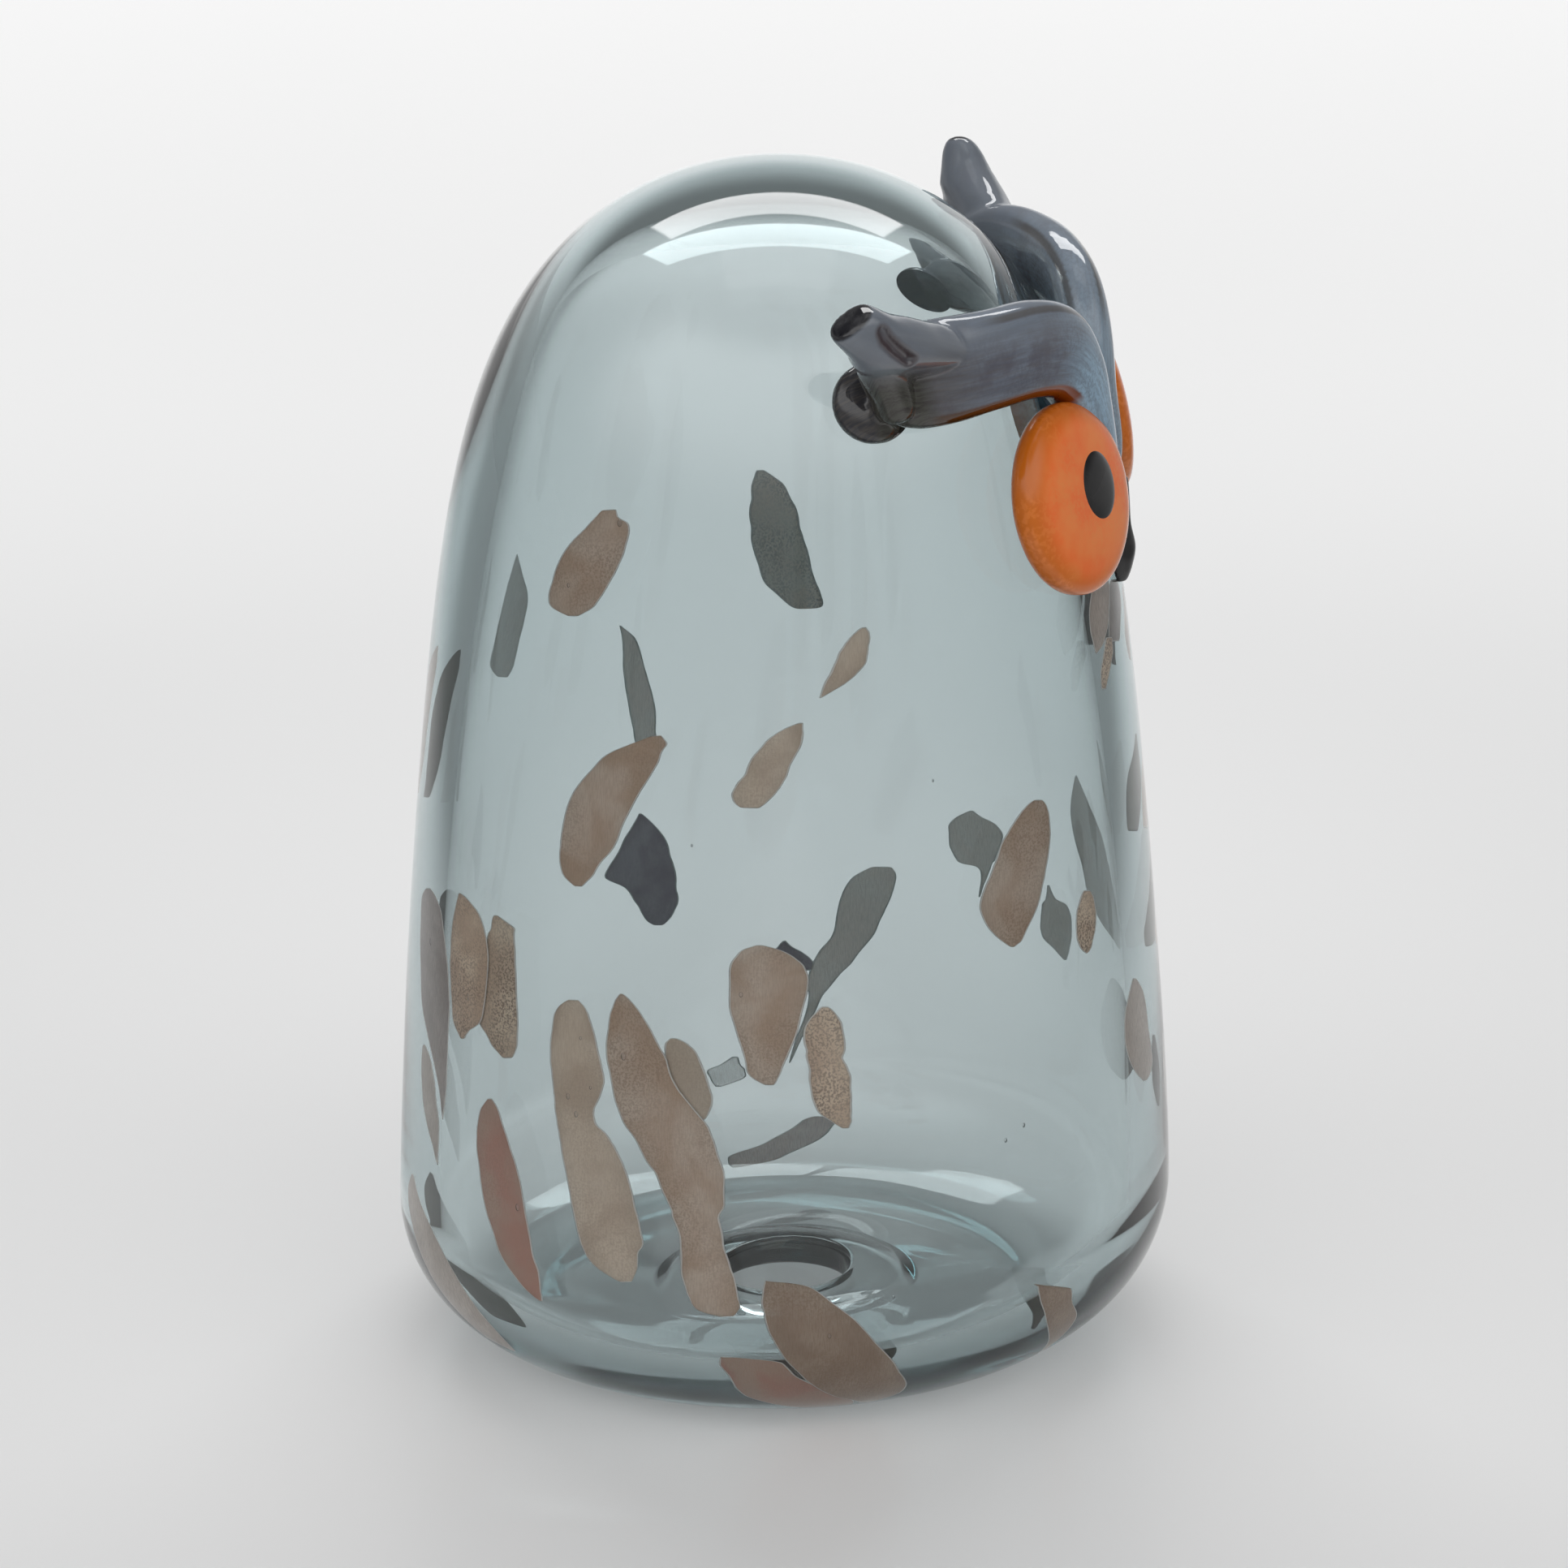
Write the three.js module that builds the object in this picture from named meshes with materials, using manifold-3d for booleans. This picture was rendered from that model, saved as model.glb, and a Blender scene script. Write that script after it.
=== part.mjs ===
// A mouth-blown glass owl figurine, hollow, with a round hole through its base.
// Millimetres, +Z up. The owl looks along -Y, and its own right side is at -X.
// The origin is the centre of the base, on the surface that the owl stands on.
//
// Heights are measured from that surface. An azimuth is an angle about the
// owl's upright axis, 0 at its face and 90 at the side that a piece belongs to.
import * as THREE from "three";
import { mergeVertices } from "three/addons/utils/BufferGeometryUtils.js";
import Module from "manifold-3d";

const wasm = await Module();
wasm.setup();

// Body, outside
const BODY_RADIUS = 75;
const BODY_HEIGHT = 230.5;
const CORNER_TOP = 26.5; // height where the rounded base corner meets the side
const CORNER_REACH = 27.3; // how far the corner comes in over the base
const TAPER = 0.2447; // share of the radius lost on the way up to the dome
const TAPER_POWER = 1.382;
const DOME_POWER = 7.84; // a high power keeps the shoulders full

// Body, inside
const SIDE_WALL = 7.5;
const TOP_WALL = 8;
const FLOOR_THICKNESS = 6.5;
const INNER_CORNER_REACH = 26;

// Hole through the base, its lip and the hollow around it underneath
const HOLE_RADIUS = 12.5;
const LIP_TOP = 8;
const LIP_REACH = 5.5;
const LIP_ROUNDING = 1.5;
const RECESS_RADIUS = 26;
const RECESS_DEPTH = 2.2;

// Faceting of the body
const BODY_SEGMENTS = 48;
const OUTER_WALL_STEPS = 17;
const INNER_WALL_STEPS = 11;
const OUTER_CORNER_STEPS = 6;
const INNER_CORNER_STEPS = 4;
const LIP_STEPS = 3;

// Every applied piece keeps this gap to what it was pressed onto
const GAP = 0.3;

// Points closer together than this are one point
const WELD = 1e-4;

// Brow: a flattened strip of glass that runs from the ear, over the eye and down beside the beak.
// Each row is a place on the body's surface, with the strip's width and thickness there, and the
// angle by which its upper edge stands away from the body.
const BROW_ROWS = [
  { azimuth: 62, height: 200.5, width: 20, thickness: 6.0, lean: 16 },
  { azimuth: 50, height: 201, width: 20.5, thickness: 6.6, lean: 22 },
  { azimuth: 37, height: 201, width: 19, thickness: 7.2, lean: 24 },
  { azimuth: 25, height: 200.5, width: 18, thickness: 7.6, lean: 24 },
  { azimuth: 15.5, height: 197.5, width: 16.5, thickness: 7.8, lean: 22 },
  { azimuth: 9.5, height: 192, width: 15, thickness: 7.6, lean: 14 },
  { azimuth: 6.8, height: 185, width: 12, thickness: 7.0, lean: 6 },
  { azimuth: 5.2, height: 177, width: 9.5, thickness: 6.2, lean: 0 },
  { azimuth: 4.4, height: 171.5, width: 7, thickness: 5.4, lean: 0 },
];
const BROW_SINK = 2.5; // the strip is pressed this deep before it is trimmed to the body
const BROW_STEPS = 20;
const BROW_SIDES = 14;
const BROW_SQUARENESS = 0.7; // 1 gives a round section, less a squarer one
const BROW_END_ROUNDING = 5; // 2 gives a round end, more a blunter one

// Ear: the end of the strip, pinched and pulled up and out into a blunt horn
const EAR_ROOT = { azimuth: 57, height: 200, lift: 2 };
const EAR_WAIST = { azimuth: 61, height: 209, lift: 12 };
const EAR_TIP = { height: 221, lift: 29 };
const EAR_ROOT_HALF_WIDTH = 8.4;
const EAR_TIP_HALF_WIDTH = 4.9;
const EAR_FLATNESS = 0.7;
const EAR_STEPS = 12;
const EAR_SIDES = 12;
const EAR_SQUARENESS = 0.9;
const EAR_END_ROUNDING = 4;

// Foot: the round pad under the ear, where the strip was first pressed on
const FOOT = { azimuth: 61.2, height: 198.6, radius: 7.6, thickness: 3.4 };
const FOOT_SEGMENTS = 15;
const FOOT_RINGS = 8;

// The two sides were made by hand and differ a little. eyeProud is the height of an eye's face
// above the body's surface.
const RIGHT = { word: "right", sign: 1, earAzimuth: 69.5, eyeAzimuth: 21, eyeProud: 7.2 };
const LEFT = { word: "left", sign: -1, earAzimuth: 64, eyeAzimuth: 23.5, eyeProud: 6.2 };

// Eye: a round-edged disc, and the pupil set into its face
const EYE_HEIGHT = 174;
const EYE_RADIUS = 18.1;
const EYE_EDGE_HEIGHT = 2.6; // where the disc is widest, above the body's surface
const EYE_ROOT = 3.0; // depth to which the disc is made before it is trimmed to the body
const EYE_ROUNDING = 2.6;
const EYE_SEGMENTS = 28;
const EYE_STEPS = 6;
const PUPIL_HALF_WIDTH = 5.4;
const PUPIL_HALF_HEIGHT = 7.05;
const PUPIL_PROUD = 0.7;
const PUPIL_DEPTH = 2.4;
const PUPIL_TOWARDS_BEAK = 3.0;
const PUPIL_ABOVE_CENTRE = 1.2;
const PUPIL_SEGMENTS = 12;

// Beak: a drop of glass on a thin stem, hanging between the eyes
const BEAK_ROWS = [
  { height: 171, lift: 4.2, radius: 1.3 },
  { height: 166, lift: 3.2, radius: 1.5 },
  { height: 162, lift: 1.7, radius: 2.5 },
  { height: 157.6, lift: 0.6, radius: 3.7 },
  { height: 154, lift: 0.4, radius: 2.7 },
  { height: 151.4, lift: 0.6, radius: 1.2 },
];
const BEAK_STEPS = 13;
const BEAK_SIDES = 12;
const BEAK_SQUARENESS = 1;
const BEAK_END_ROUNDING = 8;

const COLOURS = {
  glass: { color: 0xa9bcc2, roughness: 0.05, metalness: 0, transparent: true, opacity: 0.45 },
  brow: { color: 0x3b424c, roughness: 0.15, metalness: 0 },
  eye: { color: 0xcd6432, roughness: 0.15, metalness: 0 },
  black: { color: 0x16181a, roughness: 0.12, metalness: 0 },
};

const UP = new THREE.Vector3(0, 0, 1);

// Outline of the body

function taperedRadius(radius, share) {
  const taper = 1 - TAPER * share ** TAPER_POWER;
  const dome = Math.sqrt(Math.max(0, 1 - share ** DOME_POWER));
  return radius * taper * dome;
}

function outsideRadius(height) {
  return taperedRadius(BODY_RADIUS, (height - CORNER_TOP) / (BODY_HEIGHT - CORNER_TOP));
}

// Points from the corner's top to the apex, closer together near the apex
function wallCurve(radius, top, steps) {
  const points = [];
  for (let i = 0; i <= steps; i += 1) {
    const share = 1 - (1 - i / steps) ** 2;
    const along = i === steps ? 0 : taperedRadius(radius, share);
    points.push(new THREE.Vector2(along, CORNER_TOP + share * (top - CORNER_TOP)));
  }
  return points;
}

// Quarter of an ellipse from the flat base up to the side
function cornerCurve(radius, reach, floor, steps) {
  const points = [];
  for (let i = 0; i < steps; i += 1) {
    const angle = (i / steps) * (Math.PI / 2);
    const along = radius - reach + reach * Math.sin(angle);
    points.push(new THREE.Vector2(along, CORNER_TOP - (CORNER_TOP - floor) * Math.cos(angle)));
  }
  return points;
}

function outsideCurve(grow) {
  const corner = cornerCurve(BODY_RADIUS + grow, CORNER_REACH, -grow, OUTER_CORNER_STEPS);
  return [...corner, ...wallCurve(BODY_RADIUS + grow, BODY_HEIGHT + grow, OUTER_WALL_STEPS)];
}

function insideCurve() {
  const radius = BODY_RADIUS - SIDE_WALL;
  const corner = cornerCurve(radius, INNER_CORNER_REACH, FLOOR_THICKNESS, INNER_CORNER_STEPS);
  return [...corner, ...wallCurve(radius, BODY_HEIGHT - TOP_WALL, INNER_WALL_STEPS)];
}

// From the inner floor, over the lip, through the hole and out under the base
function holeCurve() {
  const shape = new THREE.Path();
  shape.moveTo(HOLE_RADIUS + 2 * LIP_REACH, FLOOR_THICKNESS);
  shape.quadraticCurveTo(
    HOLE_RADIUS + LIP_REACH + LIP_ROUNDING,
    LIP_TOP,
    HOLE_RADIUS + LIP_ROUNDING,
    LIP_TOP,
  );
  shape.quadraticCurveTo(HOLE_RADIUS, LIP_TOP, HOLE_RADIUS, LIP_TOP - LIP_ROUNDING);
  shape.lineTo(HOLE_RADIUS, RECESS_DEPTH + LIP_ROUNDING);
  shape.quadraticCurveTo(HOLE_RADIUS, RECESS_DEPTH, HOLE_RADIUS + LIP_ROUNDING, RECESS_DEPTH);
  shape.quadraticCurveTo((HOLE_RADIUS + RECESS_RADIUS) / 2 + LIP_ROUNDING, RECESS_DEPTH, RECESS_RADIUS, 0);
  return shape.getPoints(LIP_STEPS);
}

// Solids

// A closed mesh becomes a solid that can be joined and cut
function solidFrom(geometry) {
  const bare = geometry.clone();
  bare.deleteAttribute("normal");
  bare.deleteAttribute("uv");
  const merged = mergeVertices(bare, WELD);
  const index = merged.index.array;
  const corners = [];
  for (let i = 0; i < index.length; i += 3) {
    const [a, b, c] = [index[i], index[i + 1], index[i + 2]];
    if (a !== b && b !== c && c !== a) {
      corners.push(a, b, c);
    }
  }
  const mesh = new wasm.Mesh({
    numProp: 3,
    vertProperties: new Float32Array(merged.attributes.position.array),
    triVerts: new Uint32Array(corners),
  });
  return new wasm.Manifold(mesh);
}

function geometryFrom(solid) {
  const mesh = solid.getMesh();
  const geometry = new THREE.BufferGeometry();
  geometry.setAttribute("position", new THREE.BufferAttribute(mesh.vertProperties, 3));
  geometry.setIndex(new THREE.BufferAttribute(mesh.triVerts, 1));
  geometry.computeVertexNormals();
  return geometry;
}

function turned(points, segments) {
  const geometry = new THREE.LatheGeometry(points, segments);
  geometry.rotateX(Math.PI / 2);
  return geometry;
}

// Place on the body's outer surface, with the direction that faces out there
function surfaceAt(azimuth, height, side) {
  const angle = THREE.MathUtils.degToRad(azimuth);
  const radius = outsideRadius(height);
  const step = 0.5;
  const slope = (outsideRadius(height + step) - outsideRadius(height - step)) / (2 * step);
  const outward = new THREE.Vector3(-side.sign * Math.sin(angle), -Math.cos(angle), 0);
  const point = outward.clone().multiplyScalar(radius).setZ(height);
  const normal = outward.clone().setZ(-slope).normalize();
  return { point, normal, outward };
}

// A round or flattened bar along a list of stations. Each station has its centre, the two
// directions of its section and the half sizes along them. Both ends are rounded.
function bar(stations, steps, sides, squareness, endRounding) {
  const geometry = new THREE.SphereGeometry(1, sides, steps);
  const position = geometry.attributes.position;
  const vertex = new THREE.Vector3();
  for (let i = 0; i < position.count; i += 1) {
    vertex.fromBufferAttribute(position, i);
    const share = (1 - vertex.y) / 2;
    const along = -vertex.y;
    const swell = Math.max(0, 1 - Math.abs(along) ** endRounding) ** (1 / endRounding);
    const ring = Math.hypot(vertex.x, vertex.z) || 1;
    const across = Math.sign(vertex.x) * Math.abs(vertex.x / ring) ** squareness;
    const out = Math.sign(vertex.z) * Math.abs(vertex.z / ring) ** squareness;
    const station = stations(share);
    const placed = station.centre
      .clone()
      .addScaledVector(station.across, across * station.halfAcross * swell)
      .addScaledVector(station.out, out * station.halfOut * swell);
    position.setXYZ(i, placed.x, placed.y, placed.z);
  }
  return geometry;
}

// A geometry whose faces point in is turned inside out
function facingOut(geometry) {
  const solid = solidFrom(geometry);
  if (solid.volume() > 0) {
    return solid;
  }
  const index = geometry.index;
  for (let i = 0; i < index.count; i += 3) {
    const first = index.getX(i);
    index.setX(i, index.getX(i + 2));
    index.setX(i + 2, first);
  }
  return solidFrom(geometry);
}

// Body

function bodyGeometry() {
  const points = [...insideCurve().reverse(), ...holeCurve(), ...outsideCurve(0)];
  return geometryFrom(facingOut(turned(points, BODY_SEGMENTS)));
}

// The body as a full solid, a gap larger all round, that trims what is pressed onto it
function bodyTrim() {
  const base = new THREE.Vector2(0, -GAP);
  return facingOut(turned([base, ...outsideCurve(GAP)], BODY_SEGMENTS));
}

// Brow with its ear and foot

function rowAt(rows, share) {
  const place = share * (rows.length - 1);
  const low = Math.min(Math.floor(place), rows.length - 2);
  const part = place - low;
  const row = {};
  for (const key of Object.keys(rows[0])) {
    const before = rows[Math.max(low - 1, 0)][key];
    const after = rows[Math.min(low + 2, rows.length - 1)][key];
    const from = rows[low][key];
    const to = rows[low + 1][key];
    const leave = (to - before) / 2;
    const arrive = (after - from) / 2;
    row[key] =
      (2 * part ** 3 - 3 * part ** 2 + 1) * from +
      (part ** 3 - 2 * part ** 2 + part) * leave +
      (3 * part ** 2 - 2 * part ** 3) * to +
      (part ** 3 - part ** 2) * arrive;
  }
  return row;
}

function strip(side, grow) {
  const nudge = 0.01;
  const stations = (share) => {
    const row = rowAt(BROW_ROWS, share);
    const here = surfaceAt(row.azimuth, row.height, side);
    const before = rowAt(BROW_ROWS, Math.max(0, share - nudge));
    const after = rowAt(BROW_ROWS, Math.min(1, share + nudge));
    const along = surfaceAt(after.azimuth, after.height, side).point.sub(
      surfaceAt(before.azimuth, before.height, side).point,
    );
    const flat = new THREE.Vector3().crossVectors(here.normal, along).normalize().multiplyScalar(side.sign);
    const lean = THREE.MathUtils.degToRad(row.lean);
    const across = flat.clone().multiplyScalar(Math.cos(lean)).addScaledVector(here.normal, Math.sin(lean));
    const out = here.normal.clone().multiplyScalar(Math.cos(lean)).addScaledVector(flat, -Math.sin(lean));
    const standOff = (row.width / 2) * Math.sin(lean) + (row.thickness - BROW_SINK) / 2;
    return {
      centre: here.point.clone().addScaledVector(here.normal, standOff),
      across,
      out,
      halfAcross: row.width / 2 + grow,
      halfOut: (row.thickness + BROW_SINK) / 2 + grow,
    };
  };
  return facingOut(bar(stations, BROW_STEPS, BROW_SIDES, BROW_SQUARENESS, BROW_END_ROUNDING));
}

function ear(side) {
  const tip = { ...EAR_TIP, azimuth: side.earAzimuth };
  const places = [EAR_ROOT, EAR_WAIST, tip].map((row) => {
    const here = surfaceAt(row.azimuth, row.height, side);
    return here.point.clone().addScaledVector(here.outward, row.lift);
  });
  const line = new THREE.CatmullRomCurve3(places);
  const around = surfaceAt(EAR_WAIST.azimuth, EAR_WAIST.height, side).outward;
  const across = new THREE.Vector3().crossVectors(UP, around).normalize();
  const stations = (share) => {
    const out = new THREE.Vector3().crossVectors(line.getTangent(share), across).normalize();
    const half = THREE.MathUtils.lerp(EAR_ROOT_HALF_WIDTH, EAR_TIP_HALF_WIDTH, Math.sqrt(share));
    return { centre: line.getPoint(share), across, out, halfAcross: half, halfOut: half * EAR_FLATNESS };
  };
  return facingOut(bar(stations, EAR_STEPS, EAR_SIDES, EAR_SQUARENESS, EAR_END_ROUNDING));
}

// A geometry made along +Z is stood on the body's surface
function stoodOn(geometry, azimuth, height, side) {
  const here = surfaceAt(azimuth, height, side);
  const across = new THREE.Vector3().crossVectors(UP, here.normal).normalize();
  const upward = new THREE.Vector3().crossVectors(here.normal, across);
  const frame = new THREE.Matrix4().makeBasis(across, upward, here.normal).setPosition(here.point);
  geometry.applyMatrix4(frame);
  return geometry;
}

function foot(side) {
  const geometry = new THREE.SphereGeometry(1, FOOT_SEGMENTS, FOOT_RINGS);
  geometry.rotateX(Math.PI / 2);
  geometry.scale(FOOT.radius, FOOT.radius, FOOT.thickness);
  return facingOut(stoodOn(geometry, FOOT.azimuth, FOOT.height, side));
}

// The half of space on one side of the face's middle line
function ownSide(side, margin) {
  const size = 3 * BODY_HEIGHT;
  const box = new THREE.BoxGeometry(size, size, size);
  box.translate(-side.sign * (size / 2 + margin), 0, 0);
  return solidFrom(box);
}

function brow(side, trim) {
  return strip(side, 0)
    .add(ear(side))
    .add(foot(side))
    .subtract(trim)
    .subtract(eyeSolid(side, GAP))
    .intersect(ownSide(side, GAP / 2));
}

// Eyes

function eyeCurve(proud, grow) {
  const points = [new THREE.Vector2(0, -EYE_ROOT - grow)];
  const upper = proud - EYE_EDGE_HEIGHT + grow;
  const lower = EYE_ROOT + EYE_EDGE_HEIGHT + grow;
  for (let i = 1; i < 2 * EYE_STEPS; i += 1) {
    const angle = (i / (2 * EYE_STEPS) - 0.5) * Math.PI;
    const along = Math.cos(angle) ** (2 / EYE_ROUNDING) * (EYE_RADIUS + grow);
    const rise = Math.sign(angle) * Math.abs(Math.sin(angle)) ** (2 / EYE_ROUNDING);
    points.push(new THREE.Vector2(along, EYE_EDGE_HEIGHT + rise * (rise > 0 ? upper : lower)));
  }
  points.push(new THREE.Vector2(0, proud + grow));
  return points;
}

function eyeSolid(side, grow) {
  const geometry = turned(eyeCurve(side.eyeProud, grow), EYE_SEGMENTS);
  return facingOut(stoodOn(geometry, side.eyeAzimuth, EYE_HEIGHT, side));
}

function pupilSolid(side, grow) {
  const geometry = new THREE.SphereGeometry(1, PUPIL_SEGMENTS, PUPIL_SEGMENTS / 2);
  const halfDepth = (PUPIL_PROUD + PUPIL_DEPTH) / 2;
  geometry.rotateX(Math.PI / 2);
  geometry.scale(PUPIL_HALF_WIDTH + grow, PUPIL_HALF_HEIGHT + grow, halfDepth + grow);
  const middle = side.eyeProud + PUPIL_PROUD - halfDepth;
  geometry.translate(side.sign * PUPIL_TOWARDS_BEAK, PUPIL_ABOVE_CENTRE, middle);
  return facingOut(stoodOn(geometry, side.eyeAzimuth, EYE_HEIGHT, side));
}

function eye(side, trim) {
  return eyeSolid(side, 0).subtract(trim).subtract(pupilSolid(side, GAP));
}

// Beak

function beak(trim) {
  const across = new THREE.Vector3(1, 0, 0);
  const stations = (share) => {
    const row = rowAt(BEAK_ROWS, share);
    const here = surfaceAt(0, row.height, RIGHT);
    return {
      centre: here.point.clone().addScaledVector(here.normal, row.lift),
      across,
      out: here.normal,
      halfAcross: row.radius,
      halfOut: row.radius,
    };
  };
  const whole = bar(stations, BEAK_STEPS, BEAK_SIDES, BEAK_SQUARENESS, BEAK_END_ROUNDING);
  let drop = facingOut(whole).subtract(trim);
  for (const side of [RIGHT, LEFT]) {
    drop = drop.subtract(strip(side, GAP)).subtract(eyeSolid(side, GAP));
  }
  return drop;
}

// Assembly

const owl = new THREE.Group();

function place(name, geometry, look) {
  const mesh = new THREE.Mesh(geometry, new THREE.MeshStandardMaterial(look));
  mesh.name = name;
  owl.add(mesh);
}

const trim = bodyTrim();
place("body", bodyGeometry(), COLOURS.glass);
for (const side of [RIGHT, LEFT]) {
  place(`ear_brow_${side.word}`, geometryFrom(brow(side, trim)), COLOURS.brow);
  place(`eye_${side.word}`, geometryFrom(eye(side, trim)), COLOURS.eye);
  place(`pupil_${side.word}`, geometryFrom(pupilSolid(side, 0)), COLOURS.black);
}
place("beak", geometryFrom(beak(trim)), COLOURS.black);

export default owl;
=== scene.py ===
"""The looks of a mouth-blown glass owl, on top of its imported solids.

The owl looks along -Y, its own right side is at -X, and +Z is up. Pieces are modelled in
millimetres and made metres when they are finished. An azimuth is an angle about the owl's
upright axis, 0 at its face and 90 at the side that a piece belongs to.
"""

import math
from collections import namedtuple

import bmesh
import bpy
from mathutils import Matrix, Vector, noise


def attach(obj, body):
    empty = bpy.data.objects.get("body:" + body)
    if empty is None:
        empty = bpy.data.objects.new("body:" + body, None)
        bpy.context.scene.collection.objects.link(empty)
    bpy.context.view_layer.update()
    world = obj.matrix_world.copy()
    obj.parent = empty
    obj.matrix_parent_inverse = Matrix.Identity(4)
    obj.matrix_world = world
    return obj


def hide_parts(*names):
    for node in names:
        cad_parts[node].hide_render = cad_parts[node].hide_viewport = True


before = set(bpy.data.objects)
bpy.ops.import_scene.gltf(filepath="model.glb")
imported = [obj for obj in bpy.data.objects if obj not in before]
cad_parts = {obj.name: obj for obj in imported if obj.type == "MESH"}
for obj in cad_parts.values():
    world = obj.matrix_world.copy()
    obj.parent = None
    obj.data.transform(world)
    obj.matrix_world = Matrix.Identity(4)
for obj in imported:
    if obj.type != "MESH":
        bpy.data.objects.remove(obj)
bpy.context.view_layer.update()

MM = 0.001
UP = Vector((0, 0, 1))

# Camera, measured from the photograph
PHOTO_SIDE_PX = 1932
FOCAL_LENGTH_PX = 10900.7
SENSOR_WIDTH = 36.0
CAMERA_AZIMUTH = 80.5  # degrees from the owl's face towards its right side
CAMERA_PITCH = 19.5
CAMERA_ROLL = -0.45
CAMERA_DISTANCE = 1.7
AIM_HEIGHT = 0.1073
AIM_SIDEWAYS = 0.0005

# Level directions, away from the camera and across its view
BACK = Vector((math.sin(math.radians(CAMERA_AZIMUTH)), math.cos(math.radians(CAMERA_AZIMUTH)), 0))
SIDE_WAY = BACK.cross(UP)

# Body, outside
Vessel = namedtuple("Vessel", "radius top taper taper_power dome_power")
BODY_RADIUS = 75
BODY_HEIGHT = 230.5
OUTSIDE = Vessel(BODY_RADIUS, BODY_HEIGHT, 0.2447, 1.382, 7.84)
CORNER_TOP = 26.5
CORNER_REACH = 27.3
CORNER_SWING = 0.08  # the base corner is this much fuller below the face, and sharper behind
CORNER_SWING_AZIMUTH = -9.5
SWING_FADE_TOP = 80
SWING_FADE_REACH = 6

# Body, inside: the wall is thickest where the sides turn into the dome, and at the very top
INSIDE = Vessel(67.6, 222.9, 0.368, 1.76, 14.1)
FLOOR_THICKNESS = 6.5
INNER_CORNER_REACH = 26

# Hole through the base, its lip and the hollow around it underneath
HOLE_RADIUS = 12.5
LIP_TOP = 8
LIP_REACH = 5.5
LIP_ROUNDING = 1.5
RECESS_RADIUS = 26
RECESS_DEPTH = 2.2

# Fineness of the body's mesh
BODY_SEGMENTS = 224
SIDE_STEPS = 40
DOME_STEPS = 44
CORNER_STEPS = 24
LIP_STEPS = 8
DOME_START = 0.72  # share of the side's height above which the dome is stepped by angle

# Brow, in millimetres and degrees: a strip from the ear, over the eye and down beside the beak
Row = namedtuple("Row", "azimuth height width thickness lean")
BROW_RIGHT = (
    Row(61.5, 200, 18, 5.8, 12),
    Row(55, 201, 20.5, 6.4, 19),
    Row(47, 201, 20.2, 6.8, 23),
    Row(37, 201, 19, 7.2, 24),
    Row(25, 200.5, 18.5, 7.6, 24),
    Row(15.5, 198, 17.5, 7.8, 22),
    Row(9.5, 192.5, 15.5, 7.6, 14),
    Row(6.8, 185, 12, 7.0, 6),
    Row(5.2, 177, 9.5, 6.2, 0),
    Row(4.4, 171.5, 7, 5.4, 0),
)
# The left one is slimmer at the ear, as the sliver of it that shows past the dome is
BROW_LEFT = (
    Row(61.5, 199, 14, 5.4, 8),
    Row(55, 199.5, 17.5, 6.2, 15),
    Row(47, 200.5, 19.5, 6.8, 21),
    Row(37, 201, 19, 7.2, 24),
    Row(25, 200.5, 18.5, 7.5, 24),
    Row(15.5, 198, 17.5, 7.5, 22),
    Row(9.5, 192.5, 15.5, 7.2, 14),
    Row(6.8, 185, 11.5, 6.2, 6),
    Row(5.2, 177, 9, 5.6, 0),
    Row(4.4, 171.5, 7, 4.6, 0),
)
BROW_SINK = 2.5
BROW_SQUARENESS = 0.82
BROW_END_ROUNDING = 5

# Ear: the end of the strip, pinched, pulled up and out, and cut off at a slant. Reach is the
# distance from the owl's axis, and tilt lifts the side that is nearer the face.
EarRow = namedtuple("EarRow", "azimuth reach height half_across half_out tilt")
EAR_RIGHT = (
    EarRow(47, 50.5, 202.5, 8, 3, 0),
    EarRow(54, 57, 208.5, 11, 4.5, 0),
    EarRow(60.5, 62, 212, 8.6, 5, 14),
    EarRow(65.2, 65.5, 215.5, 5.8, 4.6, 30),
    EarRow(69.6, 67, 219.5, 4.9, 4.2, 37),
)
EAR_LEFT = (
    EarRow(47, 51, 202, 8.5, 3, 0),
    EarRow(53.5, 56.5, 207.5, 10, 4.8, 0),
    EarRow(59.5, 60, 211, 7.6, 5.2, 6),
    EarRow(63.5, 62.5, 215.5, 5.5, 4.8, 10),
    EarRow(66.4, 64.4, 221.0, 5.2, 4.6, 14),
)
EAR_SQUARENESS = 0.8

# Root of the ear, as an azimuth, a reach and a height, and how far round it the glass has melted
EAR_ROOT = (57.5, 60, 210)
EAR_ROOT_REACHES = (10, 8, 6)

# Neck: the fold that runs from the ear down to the foot
NeckRow = namedtuple("NeckRow", "azimuth reach height radius")
NECK_ROWS = (
    NeckRow(64.5, 63, 212, 4.6),
    NeckRow(62, 60, 206.5, 4.4),
    NeckRow(59.5, 58, 201.5, 4.2),
    NeckRow(58, 57, 197, 4),
)
NECK_END_ROUNDING = 4

# Crease: a line pinched into the root of the ear, as azimuths, reaches and heights
CREASE = ((64.6, 70.4, 217.6), (64.1, 70.1, 216.1), (62.1, 69, 213.5), (59.3, 67, 210.7))
CREASE_REACH = 1.7
CREASE_DEPTH = 1.5
CREASE_SPREAD = 1.8  # how much wider its colour is than its groove

# Foot: the round pad under the ear, where the strip was first pressed on
FOOT_AZIMUTH = 61.2
FOOT_HEIGHT = 198.6
FOOT_RADIUS = 7.6
FOOT_THICKNESS = 3.2
FOOT_FLATNESS = 0.6
FOOT_SINK = 0.45  # how fast the pad dives under the strip, for each millimetre towards the face

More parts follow.
